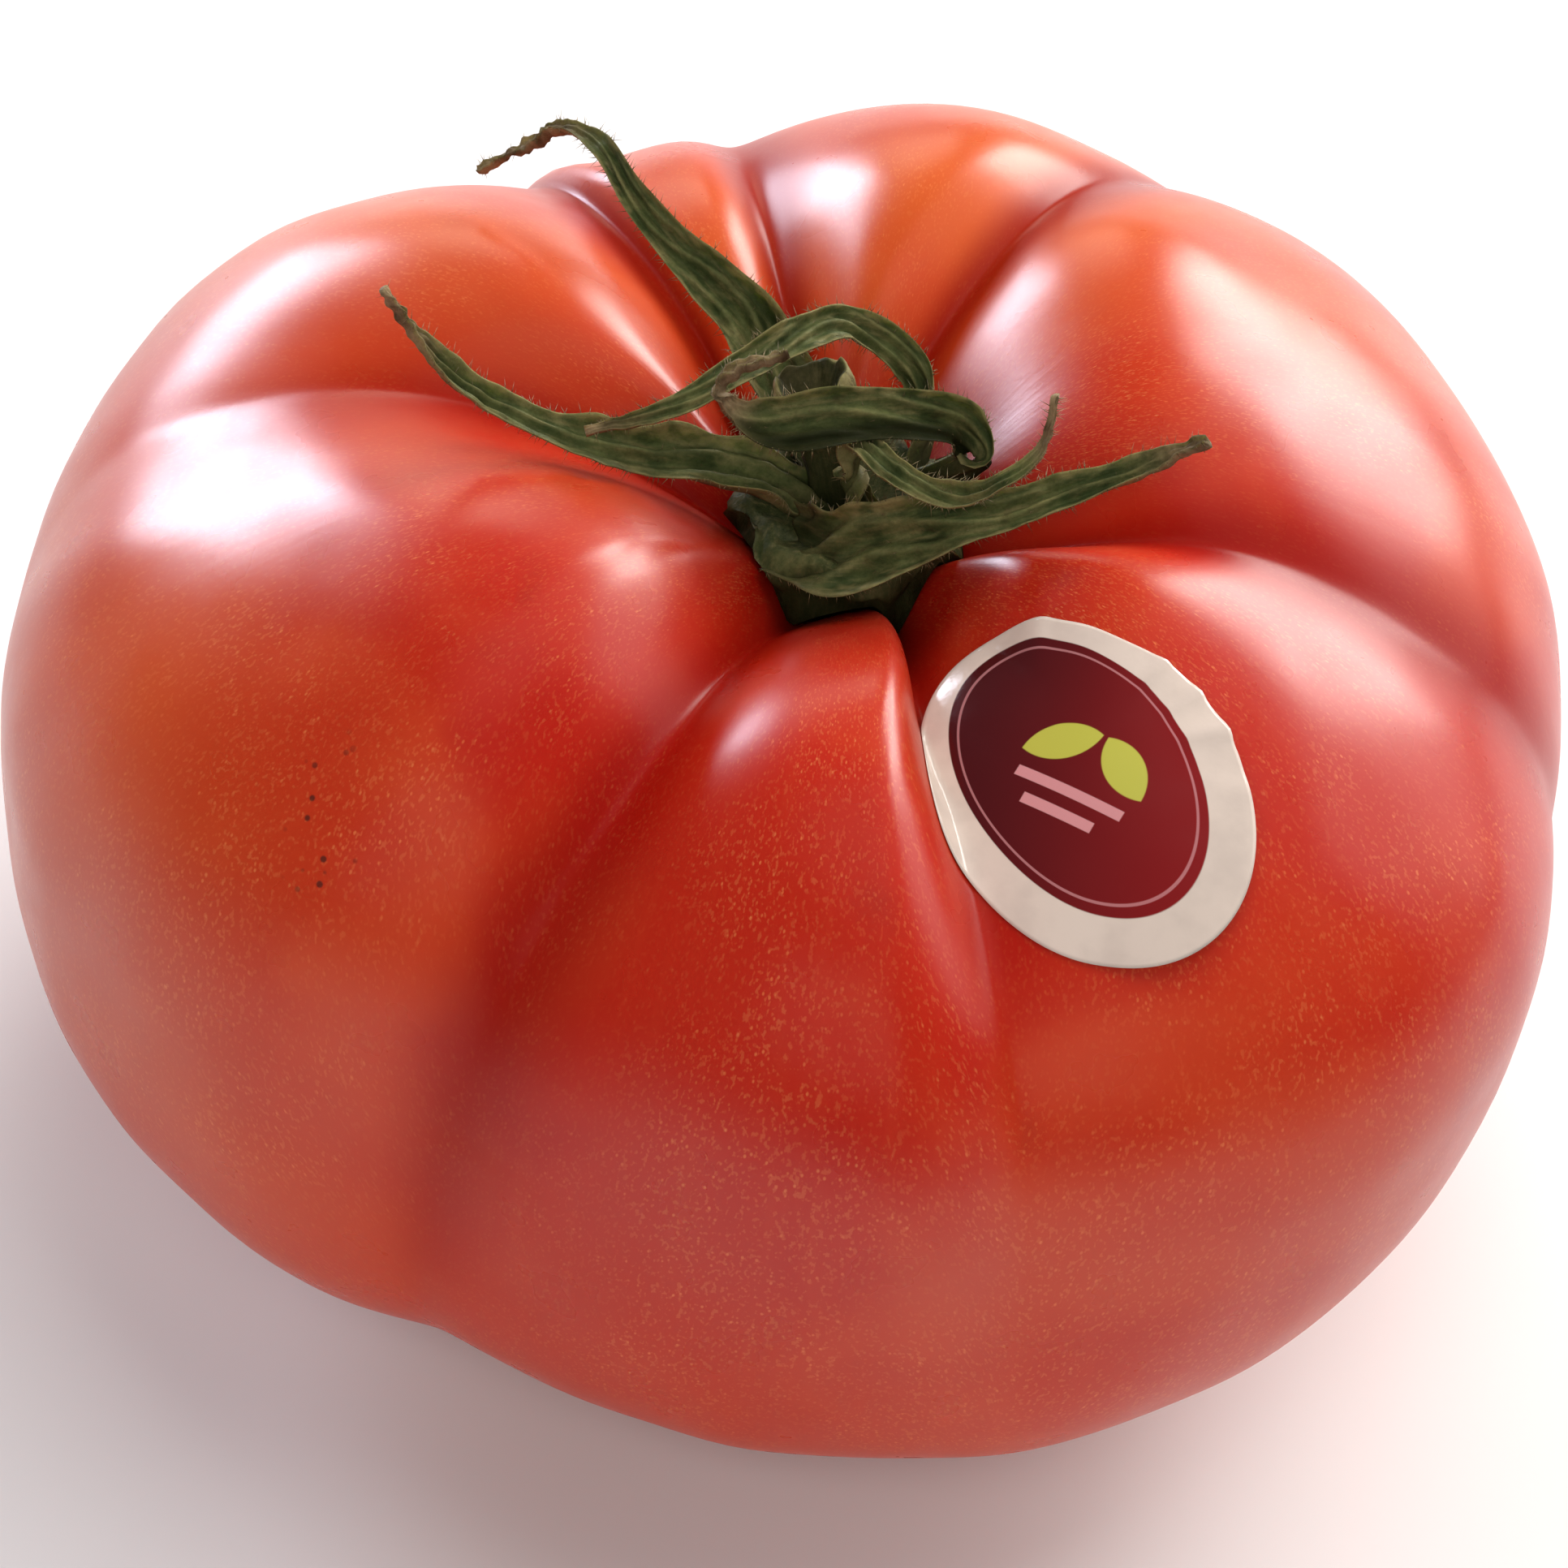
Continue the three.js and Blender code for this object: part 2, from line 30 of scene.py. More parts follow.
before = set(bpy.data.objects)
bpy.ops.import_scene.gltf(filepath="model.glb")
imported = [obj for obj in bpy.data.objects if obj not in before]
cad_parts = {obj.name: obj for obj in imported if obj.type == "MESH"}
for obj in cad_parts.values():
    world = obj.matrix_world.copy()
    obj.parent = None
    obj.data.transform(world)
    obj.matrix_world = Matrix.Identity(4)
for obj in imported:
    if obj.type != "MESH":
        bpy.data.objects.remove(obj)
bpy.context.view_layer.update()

METRE = 0.001
AXIS = np.array([0.0, 0.0, 1.0])

# Shape of the fruit
MEAN_RADIUS = 50
WAIST_HEIGHT = 36.7
SHOULDER_RISE = 25.8
BASE_DROP = 1.01 * WAIST_HEIGHT
SHOULDER_POWER = 2.28
BASE_POWER = 2.45
CAVITY_DEPTH = 17.1
CAVITY_RADIUS = 17.1
CAVITY_POWER = 2.6
CAVITY_LOBING = 0.35
PLAN_SHARES = [-0.031, 0.031, 0.019, -0.028, -0.019, -0.003, -0.008, 0.01]
SHOULDER_SHARES = [0.034, 0.006, -0.009, 0.068]
BASE_SHARES = [-0.116, -0.073, -0.027, -0.007]
CAVITY_SHARES = [-0.156, 0.077, -0.191, -0.037]

# Creases in order round the fruit. Each row's lobe lies between its crease and the next one.
CREASES = [
    dict(at=72, drift=-34, hook=13.7, depth=1.6, fade=(60, 120), swell=0.3, crest=0.45),
    dict(at=104.6, drift=-4.8, hook=1.3, depth=3.2, fade=(60, 120), swell=-3.55, crest=0.74),
    dict(at=120.1, drift=2.6, hook=14.3, depth=5, fade=(60, 120), swell=1.1, crest=0.51),
    dict(at=161.1, drift=33.4, hook=-1.1, depth=2.4, fade=(45, 100), swell=1.6, crest=0.7),
    dict(at=248.2, drift=-11.9, hook=-7.9, depth=3.7, fade=(60, 165), swell=0.6, crest=0.73),
    dict(at=284.3, drift=2.8, hook=15, depth=5.3, fade=(30, 120), swell=0.7, crest=0.57),
    dict(at=345.4, drift=5.6, hook=-9.4, depth=2.2, fade=(60, 135), swell=-1.4, crest=0.49),
]
CREASE_POWER = 2.2
CREASE_ROUNDING = (0.25, 1.85)
MOST_ROUNDING = 0.6
BASE_RUN = (75, 150)
LIFT_RUN = (8, 52)
CREASE_RUN = (-4, 48)
DRIFT_RUN = (20, 150)
HOOK_RUN = (20, 55)
ROUNDING_RUN = (25, 95)
SWELL_RUN = (0, 40)
SWELL_FADE = (70, 125)

# Fineness and small relief of the fruit's surface
SKIN_COLUMNS = 470
SKIN_ROWS = 176
COLUMN_CROWDING = 0.75
ROW_CROWDING = 1.05
FLOOR_RINGS = 12
FLOOR_CROWDING = 1.3
RELIEF_FROM_FLOOR = (0, 9)
# Painted shade in the cavity: distances from the axis over which it fades out, and the polar angle
# past which there is none
CAVITY_SHADE_RUN = (7, 17)
CAVITY_SHADE_POLAR = 60
SCAR_RADIUS = 4.5
SCAR_DEPTH = 0.9
RIPPLES = [(19, 0.16), (9, 0.045)]

# Calyx
SEAT_GAP = 0.35
CUP_RADIUS = 7
CUP_SIDES = 96
CUP_THICKNESS = 0.7
CUP_SEAT_RINGS = 15
CUP_NARROWING = 0.07
CUP_RIB_RUN = (1.5, 6)
# Heights over which the painted shade on the cup lightens
CUP_SHADE_RUN = (51.5, 54.2)
# Ribs round the cup and the stalk: how many, where they start and how deep they are, then the
# size, length and seed of the unevenness on them
CUP_TOP_RIBS = (6, 0.4, 0.3, 0.2, 3, 31)
CUP_SIDE_RIBS = (7, 2.0, 0.06, 0.03, 2.5, 33)
STALK_SIDE_RIBS = (5, 0.5, 0.05, 0.04, 2.2, 41)
STALK_TOP_RIBS = (2, 1, 0.35, 0.2, 1.4, 42)
# Rings of the cup's dished top: share of its radius, and height
CUP_DISH = [
    (1.04, 50.8), (1.08, 51.6), (1.1, 52.4), (1.09, 53.1), (1.05, 53.7), (0.98, 54.1), (0.9, 54.1),
    (0.8, 53.8), (0.6, 53.3), (0.45, 52.9), (0.3, 52.5), (0.15, 52.4), (0.02, 52.4),
]
STALK_LENGTH = 12.4
STALK_FOOT = (-0.1, 1.5, 49.5)
STALK_TOP = (-3.1, 2.5, 61.6)
STALK_SIDES = 64
STALK_STATIONS = 60
STALK_JAGGED_RUN = (10, 12.4)
STALK_RIM_RUN = (10.8, 12.1)
# Heights over which the painted shade at the stalk's foot fades
STALK_SHADE_RUN = (55, 60)
# The stalk's radius at heights, and the rings of its hollow top: radius and drop
STALK_OUTLINE = [
    (0, 2.2), (1.5, 1.9), (3.5, 1.6), (7.6, 1.6), (8.9, 1.9), (10, 2.35),
    (11.5, 2.6), (12.1, 2.5), (12.4, 2.2),
]
STALK_HOLLOW = [(2.0, 0.15), (1.8, 0.45), (1.5, 1.0), (1.2, 1.6), (0.7, 1.9), (0.1, 2.0)]
BLADE_STATIONS = 150
BLADE_COLUMNS = 20
BLADE_THICKNESS = 0.42
HAIRS_PER_SEPAL = 420
HAIR_RADIUS = 0.035
HAIR_LENGTHS = (0.25, 0.95)
HAIR_ROOT = 0.08
HAIR_BEND = 0.12
HAIRS_ON_EDGE = 0.55
# What the hairs carry in a blade's marks: these values, and one for the other marks
HAIR_MARKS = {"dry": 0.8, "painted_shade": 0.0}
PLAIN_MARK = 0.5

# Crinkles of a blade: length, step of the seed and height. The last is where it has withered.
CRINKLES = [(1.6, 3, 0.07), (4.5, 6, 0.12)]
WITHERED_CRINKLE = (0.9, 4, 0.12)

# Waves along a blade's two edges and its folds: their lengths on a run of 40 from root to tip
WAVE_RUN = (40, 0, 0)
EDGE_WAVELENGTHS = (6, 5)
FOLD_WAVELENGTH = 14
# How a blade's edges flare, wave and lift, and its folds, as shares of its half width
EDGE_FLARE = 0.07
EDGE_WAVE = 0.22
EDGE_LIFT = 0.35
EDGE_LIFT_RUN = (0.72, 1)
FOLD_PITCH = 2.5 * math.pi
FOLD_DEPTH = 0.26
FOLD_SHIFT = 0.35
# A tip withers over this run from its dry share. It then loses shares of its width, folds and
# waves, and gains in thickness.
WITHER_RUN = (-0.12, 0.05)
WITHERED_WIDTH = 0.35
WITHERED_FOLDS = 0.7
WITHERED_EDGE = 0.5
WITHERED_THICKNESS = 1.1
# A blade thins towards its edges, and where its half width falls below a limit
EDGE_THINNING = 0.55
FULL_THICKNESS_AT = 0.8
# How dark the painted shade on a sepal is at its root, on its underside and on a half that others
# shade
ROOT_SHADE = 0.75
UNDERSIDE_SHADE = 0.2
SHADED_HALF = (0.0, 0.5)

# Sticker
LABEL_LENGTH = 25.4
LABEL_WIDTH = 17.3
LABEL_AZIMUTH = 299
LABEL_POLAR = 55.1
LABEL_TURN = 2.5
LABEL_LONG_BEND = 31
LABEL_WIDE_BEND = 30
LABEL_SKEW = 0.0003
LABEL_EASE = 0.3
LABEL_GAP = 0.12
LABEL_THICKNESS = 0.1
LABEL_CLEARING = (12, 18)
LABEL_RINGS = 44
LABEL_SIDES = 180
# Small creases of the right edge, and the lifted fold at the top: angle from the lower end,
# half width in degrees and height
LABEL_WRINKLES = [
    (82, 3.5, 0.42), (96, 3, 0.36), (112, 3, 0.3), (68, 4, -0.1), (165, 5, 0.5), (184, 9, 0.2),
]
WRINKLE_RUN = (0.55, 1.0)
# Where the edge runs out, at the fold, or in: angle, half width and share of the oval
LABEL_TRIM = [(166, 8, 0.05), (130, 24, -0.1)]
# The printed field: its half length and half width, how far up it sits, and which way and
# over what run it brightens
FIELD_REACH = (10.5, 6.35)
FIELD_SHIFT = 0.7
FIELD_SLANT = (0.62, 0.78)
FIELD_RUN = (-8, 9)
# Degrees to each side of its middle at which the slope of the skin is taken
LABEL_PROBE = 6

# The mark on the sticker: its lean, its leaves (middle and tip's turn) and its bars
MARK_LEAN = 28
LEAVES = [((-2.1, 1.4), 35), ((2.1, 1.4), -35)]
LEAF_ARC = 2.9
LEAF_OFFSET = 1.7
BARS = [(-1.3, 3.6), (-2.7, 2.4)]
BAR_HALF_WIDTH = 0.33

# Soft lights that face the fruit, in metres and watts. Those not mirrored only fill the shade.
WINDOWS = [
    dict(name="window_left", azimuth=124.5, elevation=12.5, distance=0.75,
         size=(0.24, 0.205), power=3.0, colour=(0.80, 0.85, 1.0)),
    dict(name="window_right", azimuth=57, elevation=23.5, distance=0.8,
         size=(0.44, 0.36), power=5.3, colour=(1.0, 0.97, 0.93)),
    dict(name="wall_glow", azimuth=99, elevation=19, distance=0.9,
         size=(0.28, 0.28), power=0.5, colour=(1.0, 0.90, 0.74)),
    dict(name="side_glow", azimuth=27, elevation=26, distance=0.9,
         size=(0.6, 0.6), power=1.9, colour=(1.0, 0.95, 0.92)),
    dict(name="front_fill", azimuth=262, elevation=42, distance=0.9,
         size=(0.7, 0.5), power=3.5, colour=(1.0, 0.97, 0.94), mirrored=False),
    dict(name="top_fill", azimuth=40, elevation=74, distance=0.9,
         size=(0.7, 0.7), power=4.9, colour=(1.0, 0.97, 0.94), mirrored=False),
]

# Studio surroundings: heights (sine of elevation) between which the glow at the horizon
# fades, then the strength above it and at the horizon
HORIZON_GLOW = (0.02, 0.18, 0.10, 0.42)
SKY_COLOUR = (0.95, 0.96, 1.0, 1)

# Floor, in metres, just below the flat spot
FLOOR_HALF_WIDTH = 3.0
FLOOR_LEVEL = -0.0001
FLOOR_GREY = (0.83, 0.83, 0.83)

# Camera: how far it looks down and leans, what it aims at, how far off, and its lens
CAMERA_TILT = 45.4
CAMERA_ROLL = 3.9
CAMERA_AIM = np.array([-3.0, 0.0, 28.7])
CAMERA_DISTANCE = 300
SENSOR_WIDTH = 36
LENS = 104.75


def smooth(run, value):
    """0 before a run, 1 after it and an eased step between."""
    share = np.clip((value - run[0]) / (run[1] - run[0]), 0, 1)
    return share * share * (3 - 2 * share)


def unit(vectors):
    return vectors / np.linalg.norm(vectors, axis=-1, keepdims=True)


def unevenness(azimuth, shares):
    """Sum of cosine and sine shares of rising order at azimuths in radians."""
    orders = range(1, len(shares) // 2 + 1)
    return sum(
        shares[2 * k - 2] * np.cos(k * azimuth) + shares[2 * k - 1] * np.sin(k * azimuth)
        for k in orders
    )


def azimuth_at(at, drift, hook, polar):
    """Azimuth of a crease, or of a column between two, as it runs down the fruit."""
    return at + drift * smooth(DRIFT_RUN, polar) + hook * (1 - smooth(HOOK_RUN, polar))


def trait(name, index):
    """A trait of the crease rows at an array of their numbers."""
    return np.array([crease[name] for crease in CREASES])[index]


def lobe_at(azimuth, polar):
    """Index of the lobe that holds each direction, how far across it, and its span."""
    lines = np.stack([
        azimuth_at(crease["at"], crease["drift"], crease["hook"], polar) for crease in CREASES
    ])
    azimuth = azimuth % 360
    azimuth = np.where(azimuth < lines[0], azimuth + 360, azimuth)
    index = np.clip((azimuth >= lines).sum(0) - 1, 0, len(CREASES) - 1)
    closed = np.concatenate([lines, lines[:1] + 360])
    start = np.take_along_axis(closed, index[None], 0)[0]
    span = np.take_along_axis(closed, index[None] + 1, 0)[0] - start
    return index, (azimuth - start) / span, span


def skin(azimuth, polar):
    """Distance from the waist centre to the skin, and how deep in a crease it is (0 to 1)."""
    azimuth, polar = np.broadcast_arrays(np.asarray(azimuth, float), np.asarray(polar, float))
    turn = np.radians(azimuth)
    sine = np.sin(np.radians(polar))
    cosine = np.cos(np.radians(polar))
    upper = cosine > 0
    low_share = unevenness(turn, BASE_SHARES) * smooth(BASE_RUN, polar)
    reach = MEAN_RADIUS * (1 + unevenness(turn, PLAN_SHARES)) * (1 + low_share)
    lift = 1 + unevenness(turn, SHOULDER_SHARES) * smooth(LIFT_RUN, polar)
    rise = np.where(upper, SHOULDER_RISE * lift, BASE_DROP)
    power = np.where(upper, SHOULDER_POWER, BASE_POWER)
    radius = ((sine / reach) ** power + (np.abs(cosine) / rise) ** power) ** (-1 / power)
    off_axis = radius * sine

    index, across, span = lobe_at(azimuth, polar)
    crest = trait("crest", index)
    past = across > crest
    nearer = np.where(past, (index + 1) % len(CREASES), index)
    fade = trait("fade", nearer)
    flank = np.where(past, 1 - crest, crest)
    side = np.where(past, 1 - across, across) / flank
    flank_width = np.radians(span * flank) * np.maximum(off_axis, 1)
    sharp, blunt = CREASE_ROUNDING
    rounded_width = sharp + (blunt - sharp) * smooth(ROUNDING_RUN, polar)
    rounding = np.minimum(rounded_width / flank_width, MOST_ROUNDING)
    eased = (np.hypot(side, rounding) - rounding) / (np.hypot(1, rounding) - rounding)
    fold = (1 - np.clip(eased, 0, 1)) ** CREASE_POWER
    run = smooth(CREASE_RUN, polar) * (1 - smooth((fade[..., 0], fade[..., 1]), polar))
    radius = radius - trait("depth", nearer) * run * fold
    swelling = smooth(SWELL_RUN, polar) * (1 - smooth(SWELL_FADE, polar))
    radius = radius + trait("swell", index) * np.sin(np.pi / 2 * side) ** 2 * swelling
    mouth = CAVITY_RADIUS * (1 + unevenness(turn, CAVITY_SHARES)) * (1 + CAVITY_LOBING * fold)
    hollow = CAVITY_DEPTH * np.exp(-((off_axis / mouth) ** CAVITY_POWER))
    radius = radius - np.where(upper, hollow, 0)
    return radius, fold * run


def from_waist(azimuth, polar, distance):
    """Points at distances from the waist centre, never lower than the flat spot."""
    azimuth, polar = np.radians(azimuth), np.radians(polar)
    off_axis = distance * np.sin(polar)
    height = np.maximum(0, WAIST_HEIGHT + distance * np.cos(polar))
    return np.stack([off_axis * np.cos(azimuth), off_axis * np.sin(azimuth), height], -1)


def skin_point(azimuth, polar):
    return from_waist(azimuth, polar, skin(azimuth, polar)[0])


def ripple(points, wavelength, seed, waves=14):
    """Smooth seeded unevenness in space, between about -1 and 1."""
    draw = np.random.default_rng(seed)
    directions = unit(draw.normal(size=(waves, 3)))
    pitch = 2 * math.pi / (wavelength * draw.uniform(0.75, 1.35, waves))
    start = draw.uniform(0, 2 * math.pi, waves)
    return np.sin((points @ directions.T) * pitch + start).sum(-1) / math.sqrt(waves)


def add_piece(name, points, faces, material, stands_for, marks=None):
    """A smooth mesh piece from points in millimetres, with named marks at its points."""
    mesh = bpy.data.meshes.new(name)
    mesh.from_pydata((np.asarray(points) * METRE).tolist(), [], faces)
    mesh.polygons.foreach_set("use_smooth", [True] * len(mesh.polygons))
    for mark, values in (marks or {}).items():
        values = np.asarray(values, float)
        vector = values.ndim == 2
        kind, field = ("FLOAT_VECTOR", "vector") if vector else ("FLOAT", "value")
        layer = mesh.attributes.new(mark, kind, "POINT")
        layer.data.foreach_set(field, values.ravel())
    mesh.materials.append(material)
    mesh.update()
    piece = bpy.data.objects.new(name, mesh)
    bpy.context.scene.collection.objects.link(piece)
    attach(piece, "root")
    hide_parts(stands_for)
    return piece


class Recipe:
    """A material in the making. Each call adds one shader node and returns its output."""

    def __init__(self, name):
        self.material = bpy.data.materials.new(name)
        self.material.use_nodes = True
        self.tree = self.material.node_tree
        self.surface = self.tree.nodes["Principled BSDF"]

    def set(self, node, name, value):
        socket = node.inputs[name]
        if isinstance(value, bpy.types.NodeSocket):
            self.tree.links.new(value, socket)
        elif socket.type == "RGBA":
            socket.default_value = (*value, 1)
        else:
            socket.default_value = value

    def add(self, kind, inputs, output=0, **settings):
        node = self.tree.nodes.new(kind)
        for name, value in settings.items():
            setattr(node, name, value)
        for name, value in inputs.items():
            self.set(node, name, value)
        return node.outputs[output]

    def place(self):
        """Position on the object in millimetres."""
        position = self.add("ShaderNodeTexCoord", {}, "Object")
        return self.scaled(position, *[1 / METRE] * 3)

    def mark(self, name, output="Fac"):
        return self.add("ShaderNodeAttribute", {}, output, attribute_name=name)

    def scaled(self, vector, *scale):
        return self.add("ShaderNodeMapping", {"Vector": vector, "Scale": scale})

    def parts(self, vector):
        node = self.tree.nodes.new("ShaderNodeSeparateXYZ")
        self.set(node, 0, vector)
        return node.outputs

    def math(self, operation, one, other=0.0):
        return self.add("ShaderNodeMath", {0: one, 1: other}, operation=operation)

    def times(self, one, other):
        return self.math("MULTIPLY", one, other)

    def plus(self, one, other):
        return self.math("ADD", one, other)

    def turned(self, x, y, degrees):
        """Two coordinates as seen from axes that are turned by an angle."""
        c, s = math.cos(math.radians(degrees)), math.sin(math.radians(degrees))
        return (self.plus(self.times(x, c), self.times(y, s)),
                self.plus(self.times(y, c), self.times(x, -s)))

    def range(self, value, low, high, to_low=0.0, to_high=1.0):
        inputs = {"Value": value, "From Min": low, "From Max": high,
                  "To Min": to_low, "To Max": to_high}
        return self.add("ShaderNodeMapRange", inputs, interpolation_type="SMOOTHSTEP")

    def noise(self, vector, size, detail=2.0, roughness=0.5, distortion=0.0):
        inputs = {"Vector": vector, "Scale": 1 / size, "Detail": detail,
                  "Roughness": roughness, "Distortion": distortion}
        return self.add("ShaderNodeTexNoise", inputs, "Fac")

    def cells(self, vector, size):
        """Distance to the nearest cell middle, and a random number for each cell."""
        node = self.tree.nodes.new("ShaderNodeTexVoronoi")
        self.set(node, "Vector", vector)
        self.set(node, "Scale", 1 / size)
        return node.outputs["Distance"], self.parts(node.outputs["Color"])[0]

    def spot(self, place, point, stretch, radius):
        """1 inside a small soft spot round a point, which a stretch widens or narrows."""
        offset = self.add("ShaderNodeVectorMath", {0: place, 1: point}, operation="SUBTRACT")
        squeezed = self.scaled(offset, *stretch)
        length = self.add("ShaderNodeVectorMath", {0: squeezed}, "Value", operation="LENGTH")
        return self.range(length, radius, 0.4 * radius)

    def mix(self, share, one, other):
        node = self.tree.nodes.new("ShaderNodeMix")
        node.data_type = "RGBA"
        self.set(node, 0, share)
        self.set(node, 6, one)
        self.set(node, 7, other)
        return node.outputs[2]

    def tint(self, colour, share, other, strength):
        """The colour with another mixed in where a share says, at most at a strength."""
        return self.mix(self.times(share, strength), colour, other)

    def bump(self, height, distance, strength=1.0, normal=None):
        inputs = {"Height": height, "Distance": distance * METRE, "Strength": strength}
        if normal is not None:
            inputs["Normal"] = normal
        return self.add("ShaderNodeBump", inputs)

    def finish(self, **sockets):
        for name, value in sockets.items():
            self.set(self.surface, name.replace("_", " "), value)
        return self.material


# Colours of the skin
RIPE = (0.49, 0.017, 0.004)
PINK = (0.58, 0.055, 0.013)
DEEP = (0.43, 0.006, 0.003)
# Deep red for the painted shade in the creases and the cavity
SHADE = (0.29, 0.004, 0.002)
SCAB = (0.045, 0.012, 0.008)
AMBER = (0.60, 0.046, 0.005)
ORANGE = (0.72, 0.130, 0.018)
GOLD = (0.88, 0.32, 0.10)


def skin_tints(recipe, place):
    """Red with pink and deep red clouds, a painted orange glow of backlight on the back shoulders,
    and warmer below and at the left.
    """
    sideward, backward, height = recipe.parts(place)
    clouds = recipe.range(recipe.noise(place, size=19, detail=2.5, distortion=0.4), 0.42, 0.66)
    colour = recipe.tint(RIPE, clouds, PINK, strength=0.75)
    upright = recipe.scaled(place, 1, 1, 0.6)
    depths = recipe.range(recipe.noise(upright, size=14, distortion=0.3), 0.5, 0.68)
    colour = recipe.tint(colour, depths, DEEP, strength=0.5)
    # Painted backlight: the back shoulders glow orange in patches
    backlit_shoulder = recipe.times(recipe.range(height, 40, 60), recipe.range(backward, -6, 30))
    patchy = recipe.range(recipe.noise(place, size=16, detail=1), 0.3, 0.6, 0.35, 0.95)
    colour = recipe.tint(colour, recipe.times(backlit_shoulder, patchy), ORANGE, strength=0.8)
    colour = recipe.tint(colour, recipe.range(height, 44, 16), AMBER, strength=0.5)
    leftward = recipe.times(recipe.range(sideward, -20, -44), recipe.range(height, 16, 34))
    return recipe.tint(colour, leftward, ORANGE, strength=0.35)


def skin_flecks(recipe, place, flow, fold, colour):
    """Golden flecks and finer dust, in crowds, fewer in the creases."""
    crowd = recipe.range(recipe.noise(place, size=7, detail=3), 0.35, 0.62, 0.35, 1)
    crowd = recipe.times(crowd, recipe.range(fold, 0.1, 0.7, 1, 0.25))
    stretched = recipe.scaled(flow, 1, 1, 0.8)
    flecks, draws = recipe.cells(stretched, size=0.46)
    fleck = recipe.times(recipe.range(flecks, 0.3, 0.1), recipe.range(draws, 0.3, 0.9))
    colour = recipe.tint(colour, recipe.times(fleck, crowd), GOLD, strength=0.36)
    dust = recipe.range(recipe.noise(stretched, size=0.28, detail=1), 0.54, 0.68)
    return recipe.tint(colour, recipe.times(dust, crowd), GOLD, strength=0.17)


def skin_blemishes(recipe, place, colour):
    """Dark specks in a cluster on the left lobe, a pale scratch low in front, a dark nick."""
    specks, draws = recipe.cells(place, size=1.15)
    speck = recipe.times(recipe.range(specks, 0.23, 0.13), recipe.range(draws, 0.3, 0.4))
    cluster = recipe.spot(place, point=(-29, -30, 53), stretch=(1.6, 0.7, 0.7), radius=5)
    scratch = recipe.spot(place, point=(0.3, -47, 33), stretch=(1, 1, 0.2), radius=0.28)
    nick = recipe.spot(place, point=(20, -43, 42), stretch=(1, 1, 0.3), radius=0.3)
    colour = recipe.tint(colour, recipe.times(speck, cluster), SCAB, strength=0.8)
    colour = recipe.mix(scratch, colour, GOLD)
    return recipe.mix(nick, colour, SCAB)


def skin_material():
    """Waxy red skin with pink and orange clouding, golden flecks, a few blemishes, and painted
    shade in its creases and its cavity.
    """
    recipe = Recipe("tomato_skin")
    place = recipe.place()
    flow = recipe.mark("flow", "Vector")
    fold = recipe.mark("fold")
    height = recipe.parts(place)[2]

    colour = skin_tints(recipe, place)
    streaks = recipe.noise(recipe.scaled(flow, 1, 1, 0.1), size=1.7, detail=3, roughness=0.55)
    lower = recipe.range(height, 52, 26, 0.1, 0.22)
    colour = recipe.mix(recipe.times(recipe.range(streaks, 0.5, 0.72), lower), colour, PINK)
    # Painted shade: the creases darkened towards deep red
    colour = recipe.tint(colour, recipe.range(fold, 0.4, 1.0), SHADE, strength=0.85)
    # Painted shade in the cavity round the calyx
    colour = recipe.tint(colour, recipe.mark("hollow"), SHADE, strength=0.9)
    colour = skin_flecks(recipe, place, flow, fold, colour)
    colour = skin_blemishes(recipe, place, colour)

    relief = recipe.bump(recipe.noise(place, size=0.6), distance=0.004)
    relief = recipe.bump(streaks, distance=0.015, strength=0.6, normal=relief)
    gloss = recipe.range(recipe.noise(place, size=5, detail=3), 0.3, 0.7, 0.27, 0.32)
    sheen = recipe.range(height, 14, 42, 0.12, 0.62)
    sheen = recipe.times(sheen, recipe.range(fold, 0.2, 1.0, 1, 0.4))
    return recipe.finish(
        Base_Color=colour, Roughness=gloss, Normal=relief, Subsurface_Weight=0.22,
        Subsurface_Radius=(1.0, 0.28, 0.14), Subsurface_Scale=0.004, IOR=1.46,
        Specular_IOR_Level=sheen,
    )


def fruit_columns():
    """Azimuth, drift and hook of each column of the skin, crowded towards the creases."""
    columns = []
    for index, crease in enumerate(CREASES):
        following = CREASES[(index + 1) % len(CREASES)]
        start = np.array([crease["at"], crease["drift"], crease["hook"]])
        end = np.array([following["at"], following["drift"], following["hook"]])
        if end[0] < start[0]:
            end[0] += 360
        count = round(SKIN_COLUMNS * (end[0] - start[0]) / 360)
        even = np.arange(count) / count
        share = even - COLUMN_CROWDING * np.sin(2 * np.pi * even) / (2 * np.pi)
        columns.append(start[:, None] + (end - start)[:, None] * share)
    return np.concatenate(columns, axis=1)


def flat_spot_polar(azimuth):
    """Polar angle at which the skin meets the flat spot."""
    high = np.full(azimuth.shape, 120.0)
    low = np.full(azimuth.shape, 179.0)
    for _ in range(40):
        middle = (high + low) / 2
        above = WAIST_HEIGHT + skin(azimuth, middle)[0] * np.cos(np.radians(middle)) > 0
        high = np.where(above, middle, high)
        low = np.where(above, low, middle)
    return low


def ring_faces(rows, count):
    """Quads between rows of points that run round an axis."""
    faces = []
    for row in range(rows - 1):
        for k in range(count):
            following = (k + 1) % count
            above = row * count
            below = above + count
            faces.append((above + k, below + k, below + following, above + following))
    return faces


def closed_faces(rows, count):
    """Faces between rings of points, and one across the first ring and one across the last."""
    first = tuple(range(count))
    last = tuple((rows - 1) * count + k for k in first)
    return ring_faces(rows, count) + [first, last[::-1]]


